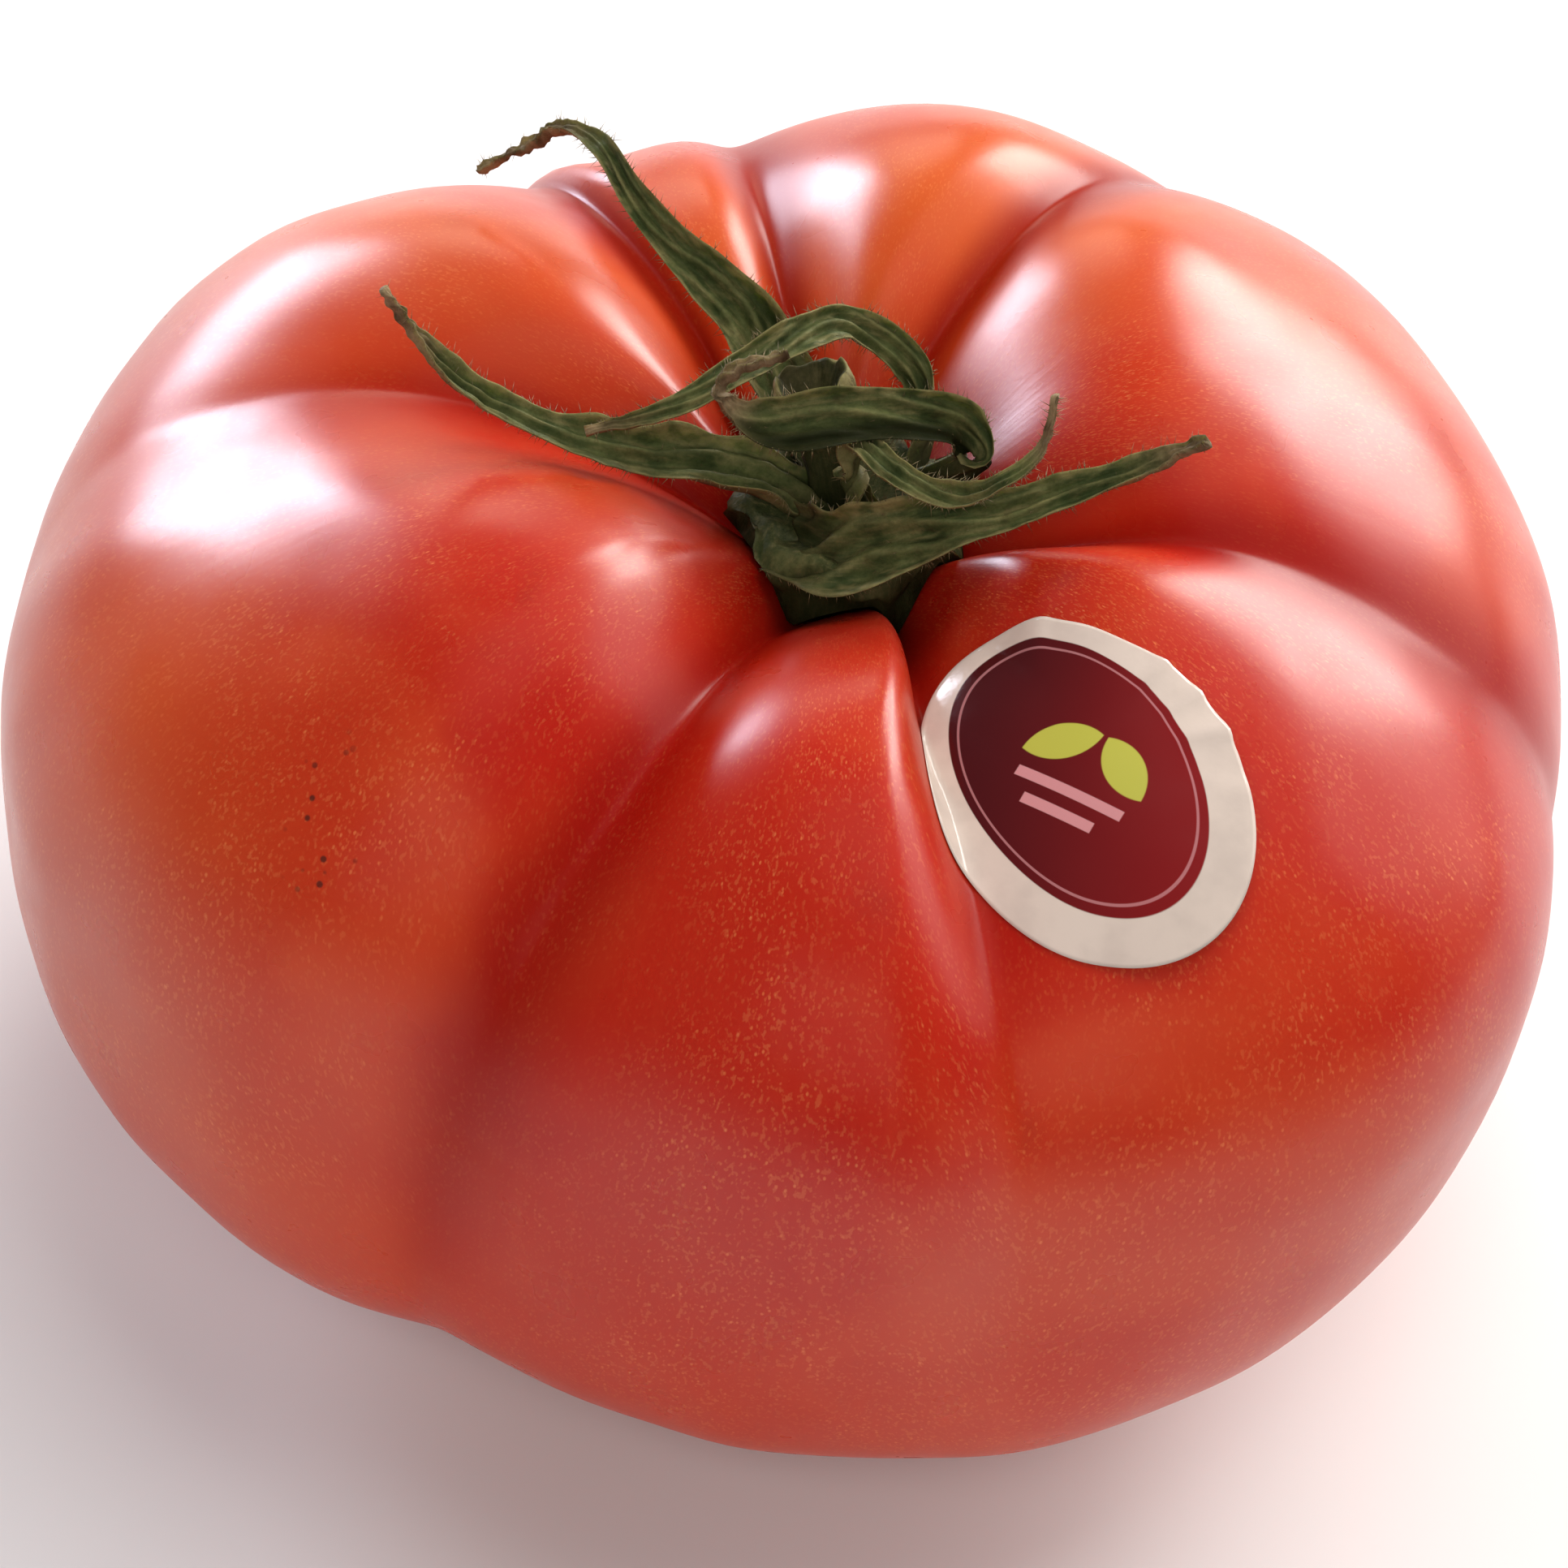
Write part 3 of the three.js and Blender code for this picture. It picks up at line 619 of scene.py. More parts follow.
def make_fruit():
    columns = fruit_columns()
    count = columns.shape[1]
    ends = flat_spot_polar(columns[0] + columns[1])
    shares = (np.arange(1, SKIN_ROWS + 1) / SKIN_ROWS) ** ROW_CROWDING
    polar = ends[None] * shares[:, None]
    azimuth = azimuth_at(*columns, polar)
    radius, fold = skin(azimuth, polar)
    points = from_waist(azimuth, polar, radius)

    # Small relief, which dies out at the flat spot and below the sticker
    level = smooth(RELIEF_FROM_FLOOR, points[..., 2])
    sticker = skin_point(LABEL_AZIMUTH, LABEL_POLAR)
    level = level * smooth(LABEL_CLEARING, np.linalg.norm(points - sticker, axis=-1))
    swell = sum(size * ripple(points, length, seed) for seed, (length, size) in enumerate(RIPPLES))
    off_axis = np.hypot(points[..., 0], points[..., 1])
    points = from_waist(azimuth, polar, radius + level * swell)
    points[-1, :, 2] = 0

    # Length run down each column, for flecks and streaks that follow the fruit's growth
    steps = np.linalg.norm(np.diff(points, axis=0, prepend=points[:1]), axis=-1)
    down = steps.cumsum(0)
    turn = np.radians(azimuth)
    flow = np.stack([MEAN_RADIUS * np.cos(turn), MEAN_RADIUS * np.sin(turn), down], -1)
    # Painted shade in the cavity round the calyx, fading away from the axis
    hollow = (1 - smooth(CAVITY_SHADE_RUN, off_axis)) * (polar < CAVITY_SHADE_POLAR)

    # The flat spot: rings from its rim to a shallow scar where the blossom was
    rim = points[-1]
    rings = np.linspace(1, 0, FLOOR_RINGS + 1)[1:-1, None, None] ** FLOOR_CROWDING
    floor = rim[None] * rings
    from_middle = np.hypot(floor[..., 0], floor[..., 1])
    floor[..., 2] = SCAR_DEPTH * (1 - smooth((0.2, SCAR_RADIUS), from_middle))
    floor_flow = np.repeat(flow[-1:], len(floor), 0)
    floor_flow[..., 2] += np.linalg.norm(floor - rim, axis=-1)

    peak = skin_point(0, 0.001)[None]
    middle = np.array([[0, 0, SCAR_DEPTH]])
    cloud = np.concatenate([points.reshape(-1, 3), floor.reshape(-1, 3), peak, middle])
    rows = SKIN_ROWS + len(floor)
    faces = ring_faces(rows, count)
    pole = rows * count
    for k in range(count):
        following = (k + 1) % count
        faces.append((pole, k, following))
        faces.append(((rows - 1) * count + k, pole + 1, (rows - 1) * count + following))
    zeros = np.zeros(floor.shape[:2])
    marks = {
        "flow": np.concatenate([
            flow.reshape(-1, 3), floor_flow.reshape(-1, 3), flow[0, :1], floor_flow[-1, :1],
        ]),
        "fold": np.concatenate([fold.ravel(), zeros.ravel(), [0, 0]]),
        "hollow": np.concatenate([hollow.ravel(), zeros.ravel(), [1, 0]]),
    }
    return add_piece("tomato_skin", cloud, faces, skin_material(), "fruit", marks)


# Sepals: spine points from root to tip with width and roll, then channel and dry share, and for two
# of them a half in painted shade or a longer run of painted shade from the root.
# At roll 0 a blade lies flat; a rolled one turns about its spine.
SEPALS = {
    "low_left": dict(
        spine=[
            (-1, 0, 52, 3.6, 0), (-4.5, 0, 54.5, 4.0, 10), (-8.5, -0.5, 56.5, 3.9, 20),
            (-12.5, -1.3, 57.5, 3.3, 25), (-16.5, -1.4, 58.5, 2.7, 25), (-20.5, -1.3, 60, 2.1, 20),
            (-24.2, -0.9, 62, 1.6, 10), (-26.7, -0.7, 65, 1.2, 0), (-28.8, -0.9, 69, 0.7, 0),
        ],
        channel=0.35, dry=0.9,
    ),
    "back_left": dict(
        spine=[
            (-1.5, 3.5, 53, 4.2, 0), (-3.8, 7.5, 55, 4.4, 15), (-6.8, 11.8, 57.2, 4.0, 30),
            (-9.8, 13.8, 59.2, 3.2, 35), (-12.6, 15.6, 61, 2.4, 35), (-15, 18, 62.5, 1.8, 35),
            (-17.4, 21.4, 63.5, 1.4, 30), (-20, 24.2, 62.5, 1.1, 10), (-22.7, 25.6, 59.5, 1.0, 0),
            (-25.6, 25.7, 57.5, 0.7, 0),
        ],
        channel=0.4, dry=0.78,
    ),
    "rear_arch": dict(
        spine=[
            (4, 3, 53, 2.6, 80), (4.3, 6.4, 57, 2.5, 70), (2.5, 7.7, 59.5, 2.4, 45),
            (-1, 7.6, 61.5, 2.4, 30), (-3.7, 5.2, 62.5, 2.3, 30), (-7.2, 1.9, 62.5, 2.1, 30),
            (-11.2, -1.2, 61.5, 1.5, 25), (-16.4, -2.8, 60.5, 0.7, 20),
        ],
        channel=0.3, dry=0.97,
    ),
    "front_arch": dict(
        spine=[
            (3.9, 0.6, 54.6, 2.6, 80), (7.7, 0.7, 57.5, 2.6, 70), (6.3, 1.4, 59.5, 2.8, 55),
            (2.8, 0.3, 61, 3.2, 45), (-1.2, -0.9, 61.5, 3.6, 45), (-4.6, -1.4, 61, 3.4, 45),
            (-7.2, -1.4, 61.5, 2.2, 35), (-8.3, -1.1, 63, 1.2, 20), (-7.2, -0.8, 64.5, 1.0, 20),
            (-4.5, 0, 65.5, 0.8, 20),
        ],
        # One half of this blade in painted shade
        channel=0.3, dry=0.7, shaded=0.95,
    ),
    "front_fold": dict(
        spine=[
            (-3.5, -3.5, 53.3, 4.6, -40), (-1.5, -5.2, 54.2, 5.6, -45), (1.3, -5.9, 55.5, 5.4, -45),
            (4.2, -6.2, 57.1, 4.2, -40), (7.2, -6.2, 58.5, 2.8, -35), (10.3, -5.8, 59.5, 2.4, -30),
            (13.9, -5.3, 61, 2.1, -25), (17.6, -5.2, 63, 1.6, -15), (20.7, -5.6, 65.5, 0.7, 0),
        ],
        # Painted shade runs further from this blade's root
        channel=0.35, dry=0.93, root=0.3,
    ),
    "front_curl": dict(
        spine=[
            (1.1, -0.5, 52.5, 2.2, 60), (-0.4, -1.4, 57, 2.2, 40), (0.2, -1.6, 59.6, 2.0, 0),
            (2.3, -3.9, 59.9, 1.9, -20), (5.2, -6.5, 60.6, 1.7, -25), (7.6, -7.6, 62, 1.3, -25),
            (9.9, -7.4, 64, 1.0, -15), (11.1, -6.5, 66, 0.8, 0), (11.3, -5.9, 68.5, 0.7, 0),
        ],
        channel=0.25, dry=0.85,
    ),
}


def curve_through(points, shares):
    """A centripetal curve through the points, at shares of its run from 0 to 1."""
    padded = np.concatenate([2 * points[:1] - points[1:2], points, 2 * points[-1:] - points[-2:-1]])
    steps = np.sqrt(np.linalg.norm(np.diff(padded, axis=0), axis=1))
    place = np.clip(shares, 0, 1) * (len(points) - 1)
    index = np.minimum(place.astype(int), len(points) - 2)
    weight = (place - index)[:, None]
    p0, p1, p2, p3 = (padded[index + k] for k in range(4))
    d0, d1, d2 = (steps[index + k][:, None] for k in range(3))
    leave = ((p1 - p0) / d0 - (p2 - p0) / (d0 + d1) + (p2 - p1) / d1) * d1
    arrive = ((p2 - p1) / d1 - (p3 - p1) / (d1 + d2) + (p3 - p2) / d2) * d1
    cubic = 2 * p1 - 2 * p2 + leave + arrive
    square = -3 * p1 + 3 * p2 - 2 * leave - arrive
    return p1 + weight * (leave + weight * (square + weight * cubic))


def eased_values(values, shares):
    """Values of a spine column at shares of its run, without corners."""
    even = np.linspace(0, 1, len(values))
    fine = np.linspace(0, 1, 400)
    width = 0.5 / len(values)
    kernel = np.exp(-(((fine[:, None] - fine[None]) / width) ** 2))
    softened = kernel @ np.interp(fine, even, values) / kernel.sum(1)
    return np.interp(shares, fine, softened)


def turned(vectors, axes, angles):
    """Vectors square to their axes, turned about them by angles in radians."""
    angles = np.asarray(angles)[:, None]
    return vectors * np.cos(angles) + np.cross(axes, vectors) * np.sin(angles)


def blade_faces(stations, columns):
    """Quads of a closed blade whose stations each hold an upper and a lower row."""
    row = columns + 1
    faces = []
    for s in range(stations - 1):
        here = s * 2 * row
        there = here + 2 * row
        for c in range(columns):
            faces.append((here + c, here + c + 1, there + c + 1, there + c))
            faces.append((here + row + c, there + row + c, there + row + c + 1, here + row + c + 1))
        faces.append((here, there, there + row, here + row))
        faces.append((here + columns, here + row + columns, there + row + columns, there + columns))
    end = (stations - 1) * 2 * row
    for c in range(columns):
        faces.append((c, row + c, row + c + 1, c + 1))
        faces.append((end + c, end + c + 1, end + row + c + 1, end + row + c))
    return faces


def spine_frame(spine, share):
    """Along a spine: its middle, heading, side and face directions, and half width."""
    table = np.array(spine, float)
    centre = curve_through(table[:, :3], share)
    heading = unit(np.gradient(centre, axis=0))
    roll = np.radians(eased_values(table[:, 4], share))
    side = turned(unit(np.cross(heading, AXIS)), heading, -roll)
    face = unit(np.cross(side, heading))
    return centre, heading, side, face, eased_values(table[:, 3], share) / 2


def crinkled(middle, face, withered, seed):
    """A blade's middle sheet with small crinkles, finer ones too where it has withered."""
    crinkle = sum(size * ripple(middle, length, seed + step) for length, step, size in CRINKLES)
    length, step, size = WITHERED_CRINKLE
    crinkle = crinkle + withered * size * ripple(middle, length, seed + step)
    return middle + face[:, None] * crinkle[..., None]


def make_sepal(name, seed, spine, channel, dry, material, shaded=0.0, root=0.16):
    """A thin channelled blade, creased along its length, that shrivels towards its tip."""
    draw = np.random.default_rng(seed)
    share = np.linspace(0, 1, BLADE_STATIONS)
    across = np.linspace(-1, 1, BLADE_COLUMNS + 1)
    centre, heading, side, face, half = spine_frame(spine, share)
    withered = smooth((dry + WITHER_RUN[0], dry + WITHER_RUN[1]), share)[:, None]
    along = share[:, None] * WAVE_RUN
    near_wave = ripple(along, EDGE_WAVELENGTHS[0], seed + 1)[:, None]
    far_wave = ripple(along, EDGE_WAVELENGTHS[1], seed + 2)[:, None]
    edge = np.where(across > 0, near_wave, far_wave) * np.abs(across) ** 3
    reach = half[:, None] * across * (1 + EDGE_FLARE * edge) * (1 - WITHERED_WIDTH * withered)
    shift = FOLD_SHIFT * ripple(along, FOLD_WAVELENGTH, seed + 5)[:, None]
    folding = np.cos((across + shift) * FOLD_PITCH)
    folds = folding * FOLD_DEPTH * (1 - across**2) * (1 - WITHERED_FOLDS * withered)
    waves = EDGE_WAVE * edge * (1 - WITHERED_EDGE * withered)
    lifted = EDGE_LIFT * smooth(EDGE_LIFT_RUN, np.abs(across))
    rise = half[:, None] * (channel * across**2 + folds + waves + lifted)
    middle = centre[:, None] + side[:, None] * reach[..., None] + face[:, None] * rise[..., None]
    middle = crinkled(middle, face, withered, seed)

    thin = BLADE_THICKNESS * (1 - EDGE_THINNING * across**2) * (1 + WITHERED_THICKNESS * withered)
    shrink = np.minimum(1, half / FULL_THICKNESS_AT)[:, None]
    lift = face[:, None] * (thin * shrink / 2)[..., None]
    points = np.stack([middle + lift, middle - lift], 1).reshape(-1, 3)
    tone = np.repeat(np.repeat(withered, BLADE_COLUMNS + 1, 1)[:, None], 2, 1)
    rim = np.broadcast_to(np.abs(across), tone.shape)
    vein = np.broadcast_to(folding[:, None], tone.shape)
    run = np.linalg.norm(np.diff(centre, axis=0, prepend=centre[:1]), axis=1).cumsum()
    apart = np.full(tone.shape, 10.0 * seed)
    blade = np.stack(np.broadcast_arrays(run[:, None, None], reach[:, None], apart), -1)
    under = np.broadcast_to(np.array([0.0, 1.0])[None, :, None], tone.shape)
    # Painted shade: darker at the root, on the underside and on a half that others shade, less on
    # that half where the tip has dried
    painted_shade = ROOT_SHADE * (1 - smooth((0.0, root), share))[:, None, None]
    painted_shade = painted_shade + UNDERSIDE_SHADE * under
    painted_shade = np.minimum(1, painted_shade + shaded * smooth(SHADED_HALF, -across) * (1 - tone))
    marks = {
        "dry": tone.ravel(), "rim": rim.ravel(), "vein": vein.ravel(),
        "under": under.ravel(), "blade": blade.reshape(-1, 3), "painted_shade": painted_shade.ravel(),
    }
    faces = blade_faces(BLADE_STATIONS, BLADE_COLUMNS)
    hair_points, hair_faces = sepal_hairs(draw, middle, face, side, heading)
    offset = len(points)
    faces = faces + [tuple(offset + k for k in hair) for hair in hair_faces]
    extra = len(hair_points)
    for mark, values in marks.items():
        filler = np.full((extra,) + values.shape[1:], HAIR_MARKS.get(mark, PLAIN_MARK))
        marks[mark] = np.concatenate([values, filler])
    points = np.concatenate([points, hair_points])
    return add_piece("sepal_" + name, points, faces, material, "calyx", marks)


def sepal_hairs(draw, middle, face, side, heading):
    """Short fine hairs that stand on both faces of a blade and thicker on its edges."""
    points = []
    faces = []
    stations, columns = middle.shape[:2]
    for _ in range(HAIRS_PER_SEPAL):
        s = int(draw.integers(2, stations - 1))
        on_edge = draw.random() < HAIRS_ON_EDGE
        c = int(draw.choice([0, columns - 1])) if on_edge else int(draw.integers(1, columns - 1))
        outward = side[s] * (1 if c > columns / 2 else -1) * (1.0 if on_edge else 0.2)
        up = face[s] * draw.choice([-1, 1], p=[0.35, 0.65])
        aim = unit(outward + up * draw.uniform(0.2, 1.0) + heading[s] * draw.uniform(-0.2, 0.9))
        length = draw.uniform(*HAIR_LENGTHS)
        root = middle[s, c] - aim * HAIR_ROOT
        first = unit(np.cross(aim, heading[s] + 0.1 * AXIS))
        second = np.cross(aim, first)
        start = len(points)
        for k in range(3):
            angle = 2 * math.pi * k / 3
            points.append(root + HAIR_RADIUS * (first * math.cos(angle) + second * math.sin(angle)))
        points.append(root + aim * length + face[s] * draw.uniform(-HAIR_BEND, HAIR_BEND))
        faces += [(start, start + 1, start + 3), (start + 1, start + 2, start + 3)]
        faces += [(start + 2, start, start + 3), (start, start + 2, start + 1)]
    return np.array(points), faces


def leaf_material():
    """Dull olive leaf with tan edges and veins, brown where it has dried, and near black where
    shade is painted.
    """
    recipe = Recipe("dry_sepal")
    place = recipe.place()
    dry, rim, vein, under = (recipe.mark(name) for name in ("dry", "rim", "vein", "under"))

    olive = (0.125, 0.140, 0.048)
    moss = (0.050, 0.068, 0.022)
    dark = (0.014, 0.026, 0.008)
    shade_colour = (0.012, 0.013, 0.004)
    khaki = (0.270, 0.230, 0.095)
    brown = (0.060, 0.032, 0.015)
    straw = (0.330, 0.230, 0.125)

    clouds = recipe.range(recipe.noise(place, size=2.6, detail=4, roughness=0.6), 0.32, 0.66)
    colour = recipe.mix(clouds, moss, olive)
    shadows = recipe.range(recipe.noise(place, size=4.5, detail=3), 0.56, 0.7)
    colour = recipe.tint(colour, shadows, dark, strength=0.6)
    drawn_out = recipe.scaled(recipe.mark("blade", "Vector"), 0.22, 1, 1)
    strands = recipe.noise(drawn_out, size=0.55, detail=4, roughness=0.6)
    colour = recipe.mix(recipe.range(strands, 0.45, 0.75, 0, 0.7), colour, khaki)
    colour = recipe.mix(recipe.range(strands, 0.48, 0.25, 0, 0.6), colour, dark)
    colour = recipe.tint(colour, recipe.range(vein, 0.4, 1.0), khaki, strength=0.16)
    colour = recipe.tint(colour, under, khaki, strength=0.3)
    frayed = recipe.range(recipe.noise(place, size=1.2, detail=3), 0.3, 0.7, -0.15, 0.15)
    edge = recipe.range(recipe.plus(rim, frayed), 0.74, 1.0)
    colour = recipe.tint(colour, edge, khaki, strength=0.9)
    patches = recipe.range(recipe.noise(place, size=1.5, detail=4, roughness=0.65), 0.56, 0.74)
    colour = recipe.tint(colour, patches, brown, strength=0.4)
    colour = recipe.mix(dry, colour, recipe.mix(clouds, brown, straw))
    # Painted shade, mixed in near black
    colour = recipe.mix(recipe.mark("painted_shade"), colour, shade_colour)
    fibres = recipe.noise(place, size=0.3, detail=4, roughness=0.7)
    colour = recipe.mix(recipe.range(fibres, 0.3, 0.8, 0, 0.35), colour, dark)
    relief = recipe.bump(fibres, distance=0.06, strength=0.8)
    relief = recipe.bump(strands, distance=0.12, strength=0.8, normal=relief)
    return recipe.finish(
        Base_Color=colour, Roughness=recipe.range(fibres, 0.3, 0.7, 0.55, 0.8), Normal=relief,
        Specular_IOR_Level=0.22,
        Subsurface_Weight=0.06, Subsurface_Radius=(0.5, 0.6, 0.2), Subsurface_Scale=0.001,
    )


def cavity_height(azimuth, off_axis):
    """Height of the skin inside the cavity, in one direction at distances from the axis."""
    polar = np.arange(0.05, 50, 0.1)
    points = skin_point(azimuth, polar)
    return np.interp(off_axis, np.hypot(points[:, 0], points[:, 1]), points[:, 2])


def ring_points(radius, height, sides):
    """Rings of points round the axis at rows of radii and heights, and the turn of each point."""
    turn = 2 * np.pi * np.arange(sides) / sides
    radius, height, turn = np.broadcast_arrays(radius[:, None], height, turn)
    return np.stack([radius * np.cos(turn), radius * np.sin(turn), height], -1), turn


def ribbing(turn, points, ribs, start, depth, uneven, length, seed):
    """Waves round the axis, with smooth unevenness on them."""
    return depth * np.sin(ribs * turn + start) + uneven * ripple(points, length, seed)


def make_cup(material):
    """The ribbed cup that the sepals grow from, seated in the cavity and dished above."""
    share, level = np.array(CUP_DISH).T
    radius = np.concatenate([np.linspace(0.1, CUP_RADIUS, CUP_SEAT_RINGS), CUP_RADIUS * share])
    columns = 360 * np.arange(CUP_SIDES) / CUP_SIDES
    seat = np.stack([cavity_height(azimuth, radius) for azimuth in columns], 1) + SEAT_GAP
    height = seat.copy()
    above = seat[CUP_SEAT_RINGS:] + CUP_THICKNESS
    height[CUP_SEAT_RINGS:] = np.maximum(level[:, None], above)
    points, turn = ring_points(radius, height, CUP_SIDES)
    radius = radius[:, None] + 0 * turn
    ribs = smooth(CUP_RIB_RUN, radius) * (height > seat)
    points[..., 2] += ribs * ribbing(turn, points, *CUP_TOP_RIBS)
    side = ribs * (CUP_NARROWING + ribbing(turn, points, *CUP_SIDE_RIBS))
    points[..., :2] *= (1 - side)[..., None]
    flat = points.reshape(-1, 3)
    faces = [face[::-1] for face in closed_faces(len(radius), CUP_SIDES)]
    marks = {
        "dry": np.full(len(flat), 0.05), "rim": np.full(len(flat), 0.2),
        "vein": np.sin(18 * turn).ravel(), "under": np.zeros(len(flat)),
        "blade": np.stack([height, CUP_RADIUS * turn, radius], -1).reshape(-1, 3),
        # Painted shade: the cup darker low in the cavity
        "painted_shade": (0.9 - 0.55 * smooth(CUP_SHADE_RUN, height)).ravel(),
    }
    return add_piece("calyx_cup", flat, faces, material, "calyx", marks)


def make_stalk(material):
    """The broken end of the stalk: a ribbed knuckle with a hollow top."""
    heights = np.linspace(0, STALK_LENGTH, STALK_STATIONS)
    radii = np.interp(heights, *np.array(STALK_OUTLINE).T)
    hollow, drops = np.array(STALK_HOLLOW).T
    radii = np.concatenate([radii, hollow])
    heights = np.concatenate([heights, STALK_LENGTH - drops])
    points, turn = ring_points(radii, heights[:, None], STALK_SIDES)
    points[..., :2] *= 1 + ribbing(turn, points, *STALK_SIDE_RIBS)[..., None]
    jagged = smooth(STALK_JAGGED_RUN, points[..., 2])
    points[..., 2] += jagged * ribbing(turn, points, *STALK_TOP_RIBS)
    faces = [face[::-1] for face in closed_faces(len(radii), STALK_SIDES)]
    flat = points.reshape(-1, 3)
    inner = np.repeat([0.0] * STALK_STATIONS + [1.0] * len(STALK_HOLLOW), STALK_SIDES)
    top = smooth(STALK_RIM_RUN, flat[:, 2]) * (1 - inner)
    foot = np.array(STALK_FOOT)
    lean = unit(np.array(STALK_TOP) - foot)
    rotation = Vector(AXIS).rotation_difference(Vector(lean)).to_matrix()
    flat = flat @ np.array(rotation).T + foot
    marks = {
        "dry": 0.1 + 0.3 * inner, "rim": 0.3 + 0.75 * top,
        "vein": np.sin(15 * turn).ravel(), "under": top,
        "blade": np.stack([points[..., 2], 2 * turn, 0 * turn], -1).reshape(-1, 3),
        # Painted shade: the stalk darker at its foot and inside its hollow top
        "painted_shade": 0.8 * (1 - smooth(STALK_SHADE_RUN, flat[:, 2])) + 0.5 * inner,
    }
    return add_piece("calyx_stalk", flat, faces, material, "calyx", marks)


def make_calyx():
    material = leaf_material()
    for seed, (name, form) in enumerate(SEPALS.items()):
        make_sepal(name, 100 + 10 * seed, material=material, **form)
    make_cup(material)
    make_stalk(material)


def label_material():
    """Coated paper: a cream rim, a maroon field and a plain two-leaf mark over two bars."""
    recipe = Recipe("sticker_paper")
    along, across, _ = recipe.parts(recipe.mark("sheet", "Vector"))
    place = recipe.place()

    cream = (0.72, 0.60, 0.52)
    shade = (0.64, 0.53, 0.46)
    wine = (0.068, 0.006, 0.008)
    ruby = (0.240, 0.011, 0.012)
    rose = (0.66, 0.28, 0.29)
    lime = (0.52, 0.50, 0.075)

    slant = recipe.plus(
        recipe.times(along, FIELD_SLANT[0]), recipe.times(across, FIELD_SLANT[1]))
    field = recipe.mix(recipe.range(slant, *FIELD_RUN), wine, ruby)
    long_share = recipe.times(recipe.plus(along, FIELD_SHIFT), 1 / FIELD_REACH[0])
    wide_share = recipe.times(across, 1 / FIELD_REACH[1])
    oval = recipe.math("SQRT", recipe.plus(
        recipe.times(long_share, long_share), recipe.times(wide_share, wide_share)))
    ring = recipe.math(
        "SUBTRACT", recipe.range(oval, 0.905, 0.912), recipe.range(oval, 0.925, 0.932))
    field = recipe.tint(field, ring, rose, strength=0.6)
    field = label_mark(recipe, along, across, field, lime, rose)

    mottle = recipe.noise(place, size=2.5, detail=3)
    paper = recipe.mix(recipe.range(mottle, 0.35, 0.75), cream, shade)
    colour = recipe.mix(recipe.range(oval, 0.993, 1.005), field, paper)
    relief = recipe.bump(recipe.noise(place, size=0.5, detail=3), distance=0.01)
    gloss = recipe.range(mottle, 0.3, 0.7, 0.11, 0.17)
    return recipe.finish(Base_Color=colour, Roughness=gloss, Normal=relief, IOR=1.45)


def label_mark(recipe, along, across, field, leaf_colour, bar_colour):
    """Two leaves over two bars, drawn along an axis that leans across the sticker."""
    x, y = recipe.turned(along, across, MARK_LEAN)
    for (x_middle, y_middle), tip in LEAVES:
        dx = recipe.math("SUBTRACT", x, x_middle)
        dy = recipe.math("SUBTRACT", y, y_middle)
        length, width = recipe.turned(dx, dy, tip)
        width = recipe.math("ABSOLUTE", width)
        offset = recipe.math("POWER", recipe.plus(width, LEAF_OFFSET), 2.0)
        arc = recipe.math("SQRT", recipe.plus(recipe.times(length, length), offset))
        inside = recipe.range(arc, LEAF_ARC + 0.05, LEAF_ARC - 0.05)
        field = recipe.mix(inside, field, leaf_colour)
    for y_middle, reach in BARS:
        level = recipe.math("ABSOLUTE", recipe.math("SUBTRACT", y, y_middle))
        inside = recipe.times(
            recipe.range(level, BAR_HALF_WIDTH + 0.03, BAR_HALF_WIDTH - 0.03),
            recipe.range(recipe.math("ABSOLUTE", x), reach, reach - 0.08))
        field = recipe.mix(inside, field, bar_colour)
    return field


def label_surface(u, v):
    """Points of the sticker's underside, and the direction out of the fruit at each."""
    waist = np.array([0, 0, WAIST_HEIGHT])
    centre = skin_point(LABEL_AZIMUTH, LABEL_POLAR)
    below = skin_point(LABEL_AZIMUTH, LABEL_POLAR + LABEL_PROBE)
    down = below - skin_point(LABEL_AZIMUTH, LABEL_POLAR - LABEL_PROBE)
    right = skin_point(LABEL_AZIMUTH + LABEL_PROBE, LABEL_POLAR)
    sideways = right - skin_point(LABEL_AZIMUTH - LABEL_PROBE, LABEL_POLAR)
    normal = unit(np.cross(down, sideways))
    turn = math.radians(LABEL_TURN)
    long = unit(down)
    long = long * math.cos(turn) + np.cross(normal, long) * math.sin(turn)
    wide = np.cross(normal, long)
    bend = u**2 / (2 * LABEL_LONG_BEND) + v**2 / (2 * LABEL_WIDE_BEND)
    height = LABEL_SKEW * u**3 - bend
    points = centre + u[..., None] * long + v[..., None] * wide + height[..., None] * normal
    offset = points - waist
    distance = np.linalg.norm(offset, axis=-1)
    azimuth = np.degrees(np.arctan2(offset[..., 1], offset[..., 0]))
    polar = np.degrees(np.arccos(offset[..., 2] / distance))
    under = skin(azimuth, polar)[0]
    clear = (distance + under + np.hypot(distance - under, LABEL_EASE)) / 2 + LABEL_GAP
    outward = unit(offset)
    return waist + outward * clear[..., None], outward


def bumps(angle, rows):
    """Sum of soft bumps round the sticker: angle and half width in degrees, and size."""
    total = 0
    for at, reach, size in rows:
        apart = (np.degrees(angle) - at + 180) % 360 - 180
        total = total + size * np.exp(-((apart / reach) ** 2))
    return total


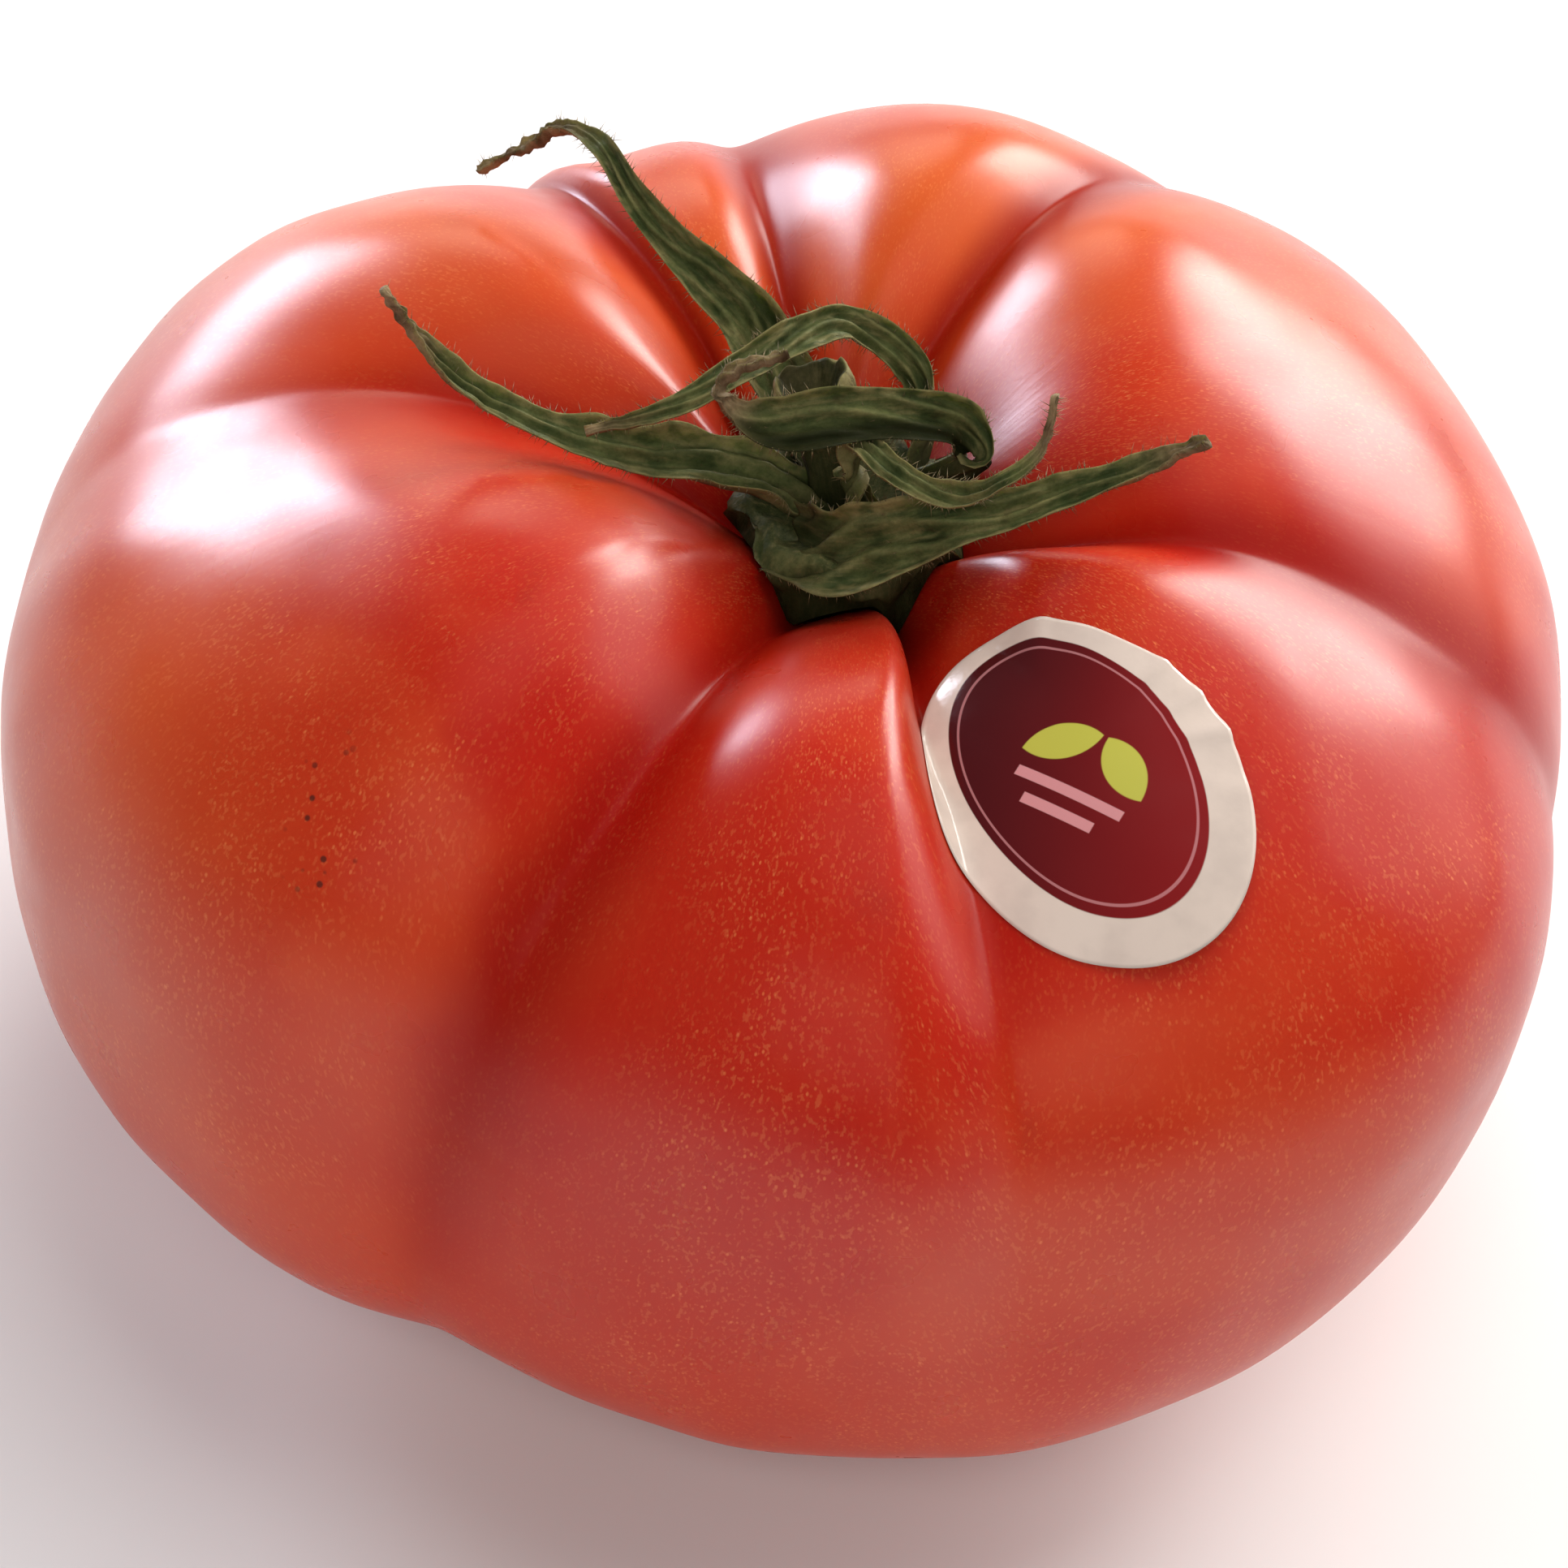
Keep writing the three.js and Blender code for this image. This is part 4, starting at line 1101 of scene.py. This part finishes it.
def make_label():
    share = np.linspace(0.002, 1, LABEL_RINGS)[:, None]
    angle = (2 * np.pi * np.arange(LABEL_SIDES) / LABEL_SIDES)[None]
    u = LABEL_LENGTH / 2 * share * np.cos(angle)
    v = LABEL_WIDTH / 2 * share * np.sin(angle)
    trim = 1 + bumps(angle, LABEL_TRIM) * share**2
    base, outward = label_surface(u * trim, v * trim)
    lifted = bumps(angle, LABEL_WRINKLES) * smooth(WRINKLE_RUN, share)
    base = base + outward * lifted[..., None]
    top = base + outward * LABEL_THICKNESS
    rows = np.concatenate([top, base[::-1]])
    faces = closed_faces(len(rows), LABEL_SIDES)
    sheet = np.stack([u, v, 0 * u], -1)
    sheet = np.concatenate([sheet, sheet[::-1]])
    marks = {"sheet": sheet.reshape(-1, 3)}
    points = rows.reshape(-1, 3)
    return add_piece("sticker", points, faces, label_material(), "label", marks)


def make_floor():
    size, level = FLOOR_HALF_WIDTH, FLOOR_LEVEL
    mesh = bpy.data.meshes.new("floor")
    mesh.from_pydata(
        [(-size, -size, level), (size, -size, level), (size, size, level), (-size, size, level)],
        [], [(0, 1, 2, 3)],
    )
    floor = bpy.data.objects.new("floor", mesh)
    bpy.context.scene.collection.objects.link(floor)
    recipe = Recipe("floor")
    mesh.materials.append(recipe.finish(Base_Color=FLOOR_GREY, Roughness=0.6))


def add_window(name, azimuth, elevation, distance, size, power, colour, mirrored=True):
    """A soft area light that faces the fruit from a direction in degrees."""
    light = bpy.data.lights.new(name, "AREA")
    light.shape = "RECTANGLE"
    light.size, light.size_y = size
    light.energy = power
    light.color = colour
    lamp = bpy.data.objects.new(name, light)
    lamp.visible_glossy = mirrored
    bpy.context.scene.collection.objects.link(lamp)
    azimuth, elevation = math.radians(azimuth), math.radians(elevation)
    level = distance * math.cos(elevation)
    aim = Vector((0, 0, WAIST_HEIGHT * METRE))
    lamp.location = aim + Vector((
        level * math.cos(azimuth), level * math.sin(azimuth), distance * math.sin(elevation)))
    lamp.rotation_euler = (aim - lamp.location).to_track_quat("-Z", "Y").to_euler()


def light_scene():
    for window in WINDOWS:
        add_window(**window)
    world = bpy.data.worlds.new("studio")
    world.use_nodes = True
    tree = world.node_tree
    direction = tree.nodes.new("ShaderNodeTexCoord").outputs["Generated"]
    split = tree.nodes.new("ShaderNodeSeparateXYZ")
    tree.links.new(direction, split.inputs[0])
    glow = tree.nodes.new("ShaderNodeMapRange")
    tree.links.new(split.outputs["Z"], glow.inputs["Value"])
    low, high, dim, bright = HORIZON_GLOW
    for name, value in (("From Min", high), ("From Max", low), ("To Min", dim), ("To Max", bright)):
        glow.inputs[name].default_value = value
    background = tree.nodes["Background"]
    background.inputs["Color"].default_value = SKY_COLOUR
    tree.links.new(glow.outputs[0], background.inputs["Strength"])
    bpy.context.scene.world = world
    bpy.context.scene.view_settings.view_transform = "Standard"


def place_camera():
    tilt, roll = math.radians(CAMERA_TILT), math.radians(CAMERA_ROLL)
    back = np.array([0, -math.cos(tilt), math.sin(tilt)])
    eye = (CAMERA_AIM + back * CAMERA_DISTANCE) * METRE
    level = np.array([1.0, 0, 0])
    upright = np.cross(back, level)
    right = level * math.cos(roll) + upright * math.sin(roll)
    up = upright * math.cos(roll) - level * math.sin(roll)
    data = bpy.data.cameras.new("camera")
    data.lens = LENS
    data.sensor_width = SENSOR_WIDTH
    data.clip_start = 0.01
    camera = bpy.data.objects.new("camera", data)
    bpy.context.scene.collection.objects.link(camera)
    pose = Matrix.Identity(4)
    for row in range(3):
        pose[row][:] = (right[row], up[row], back[row], eye[row])
    camera.matrix_world = pose
    bpy.context.scene.camera = camera


make_fruit()
make_calyx()
make_label()
make_floor()
light_scene()
place_camera()
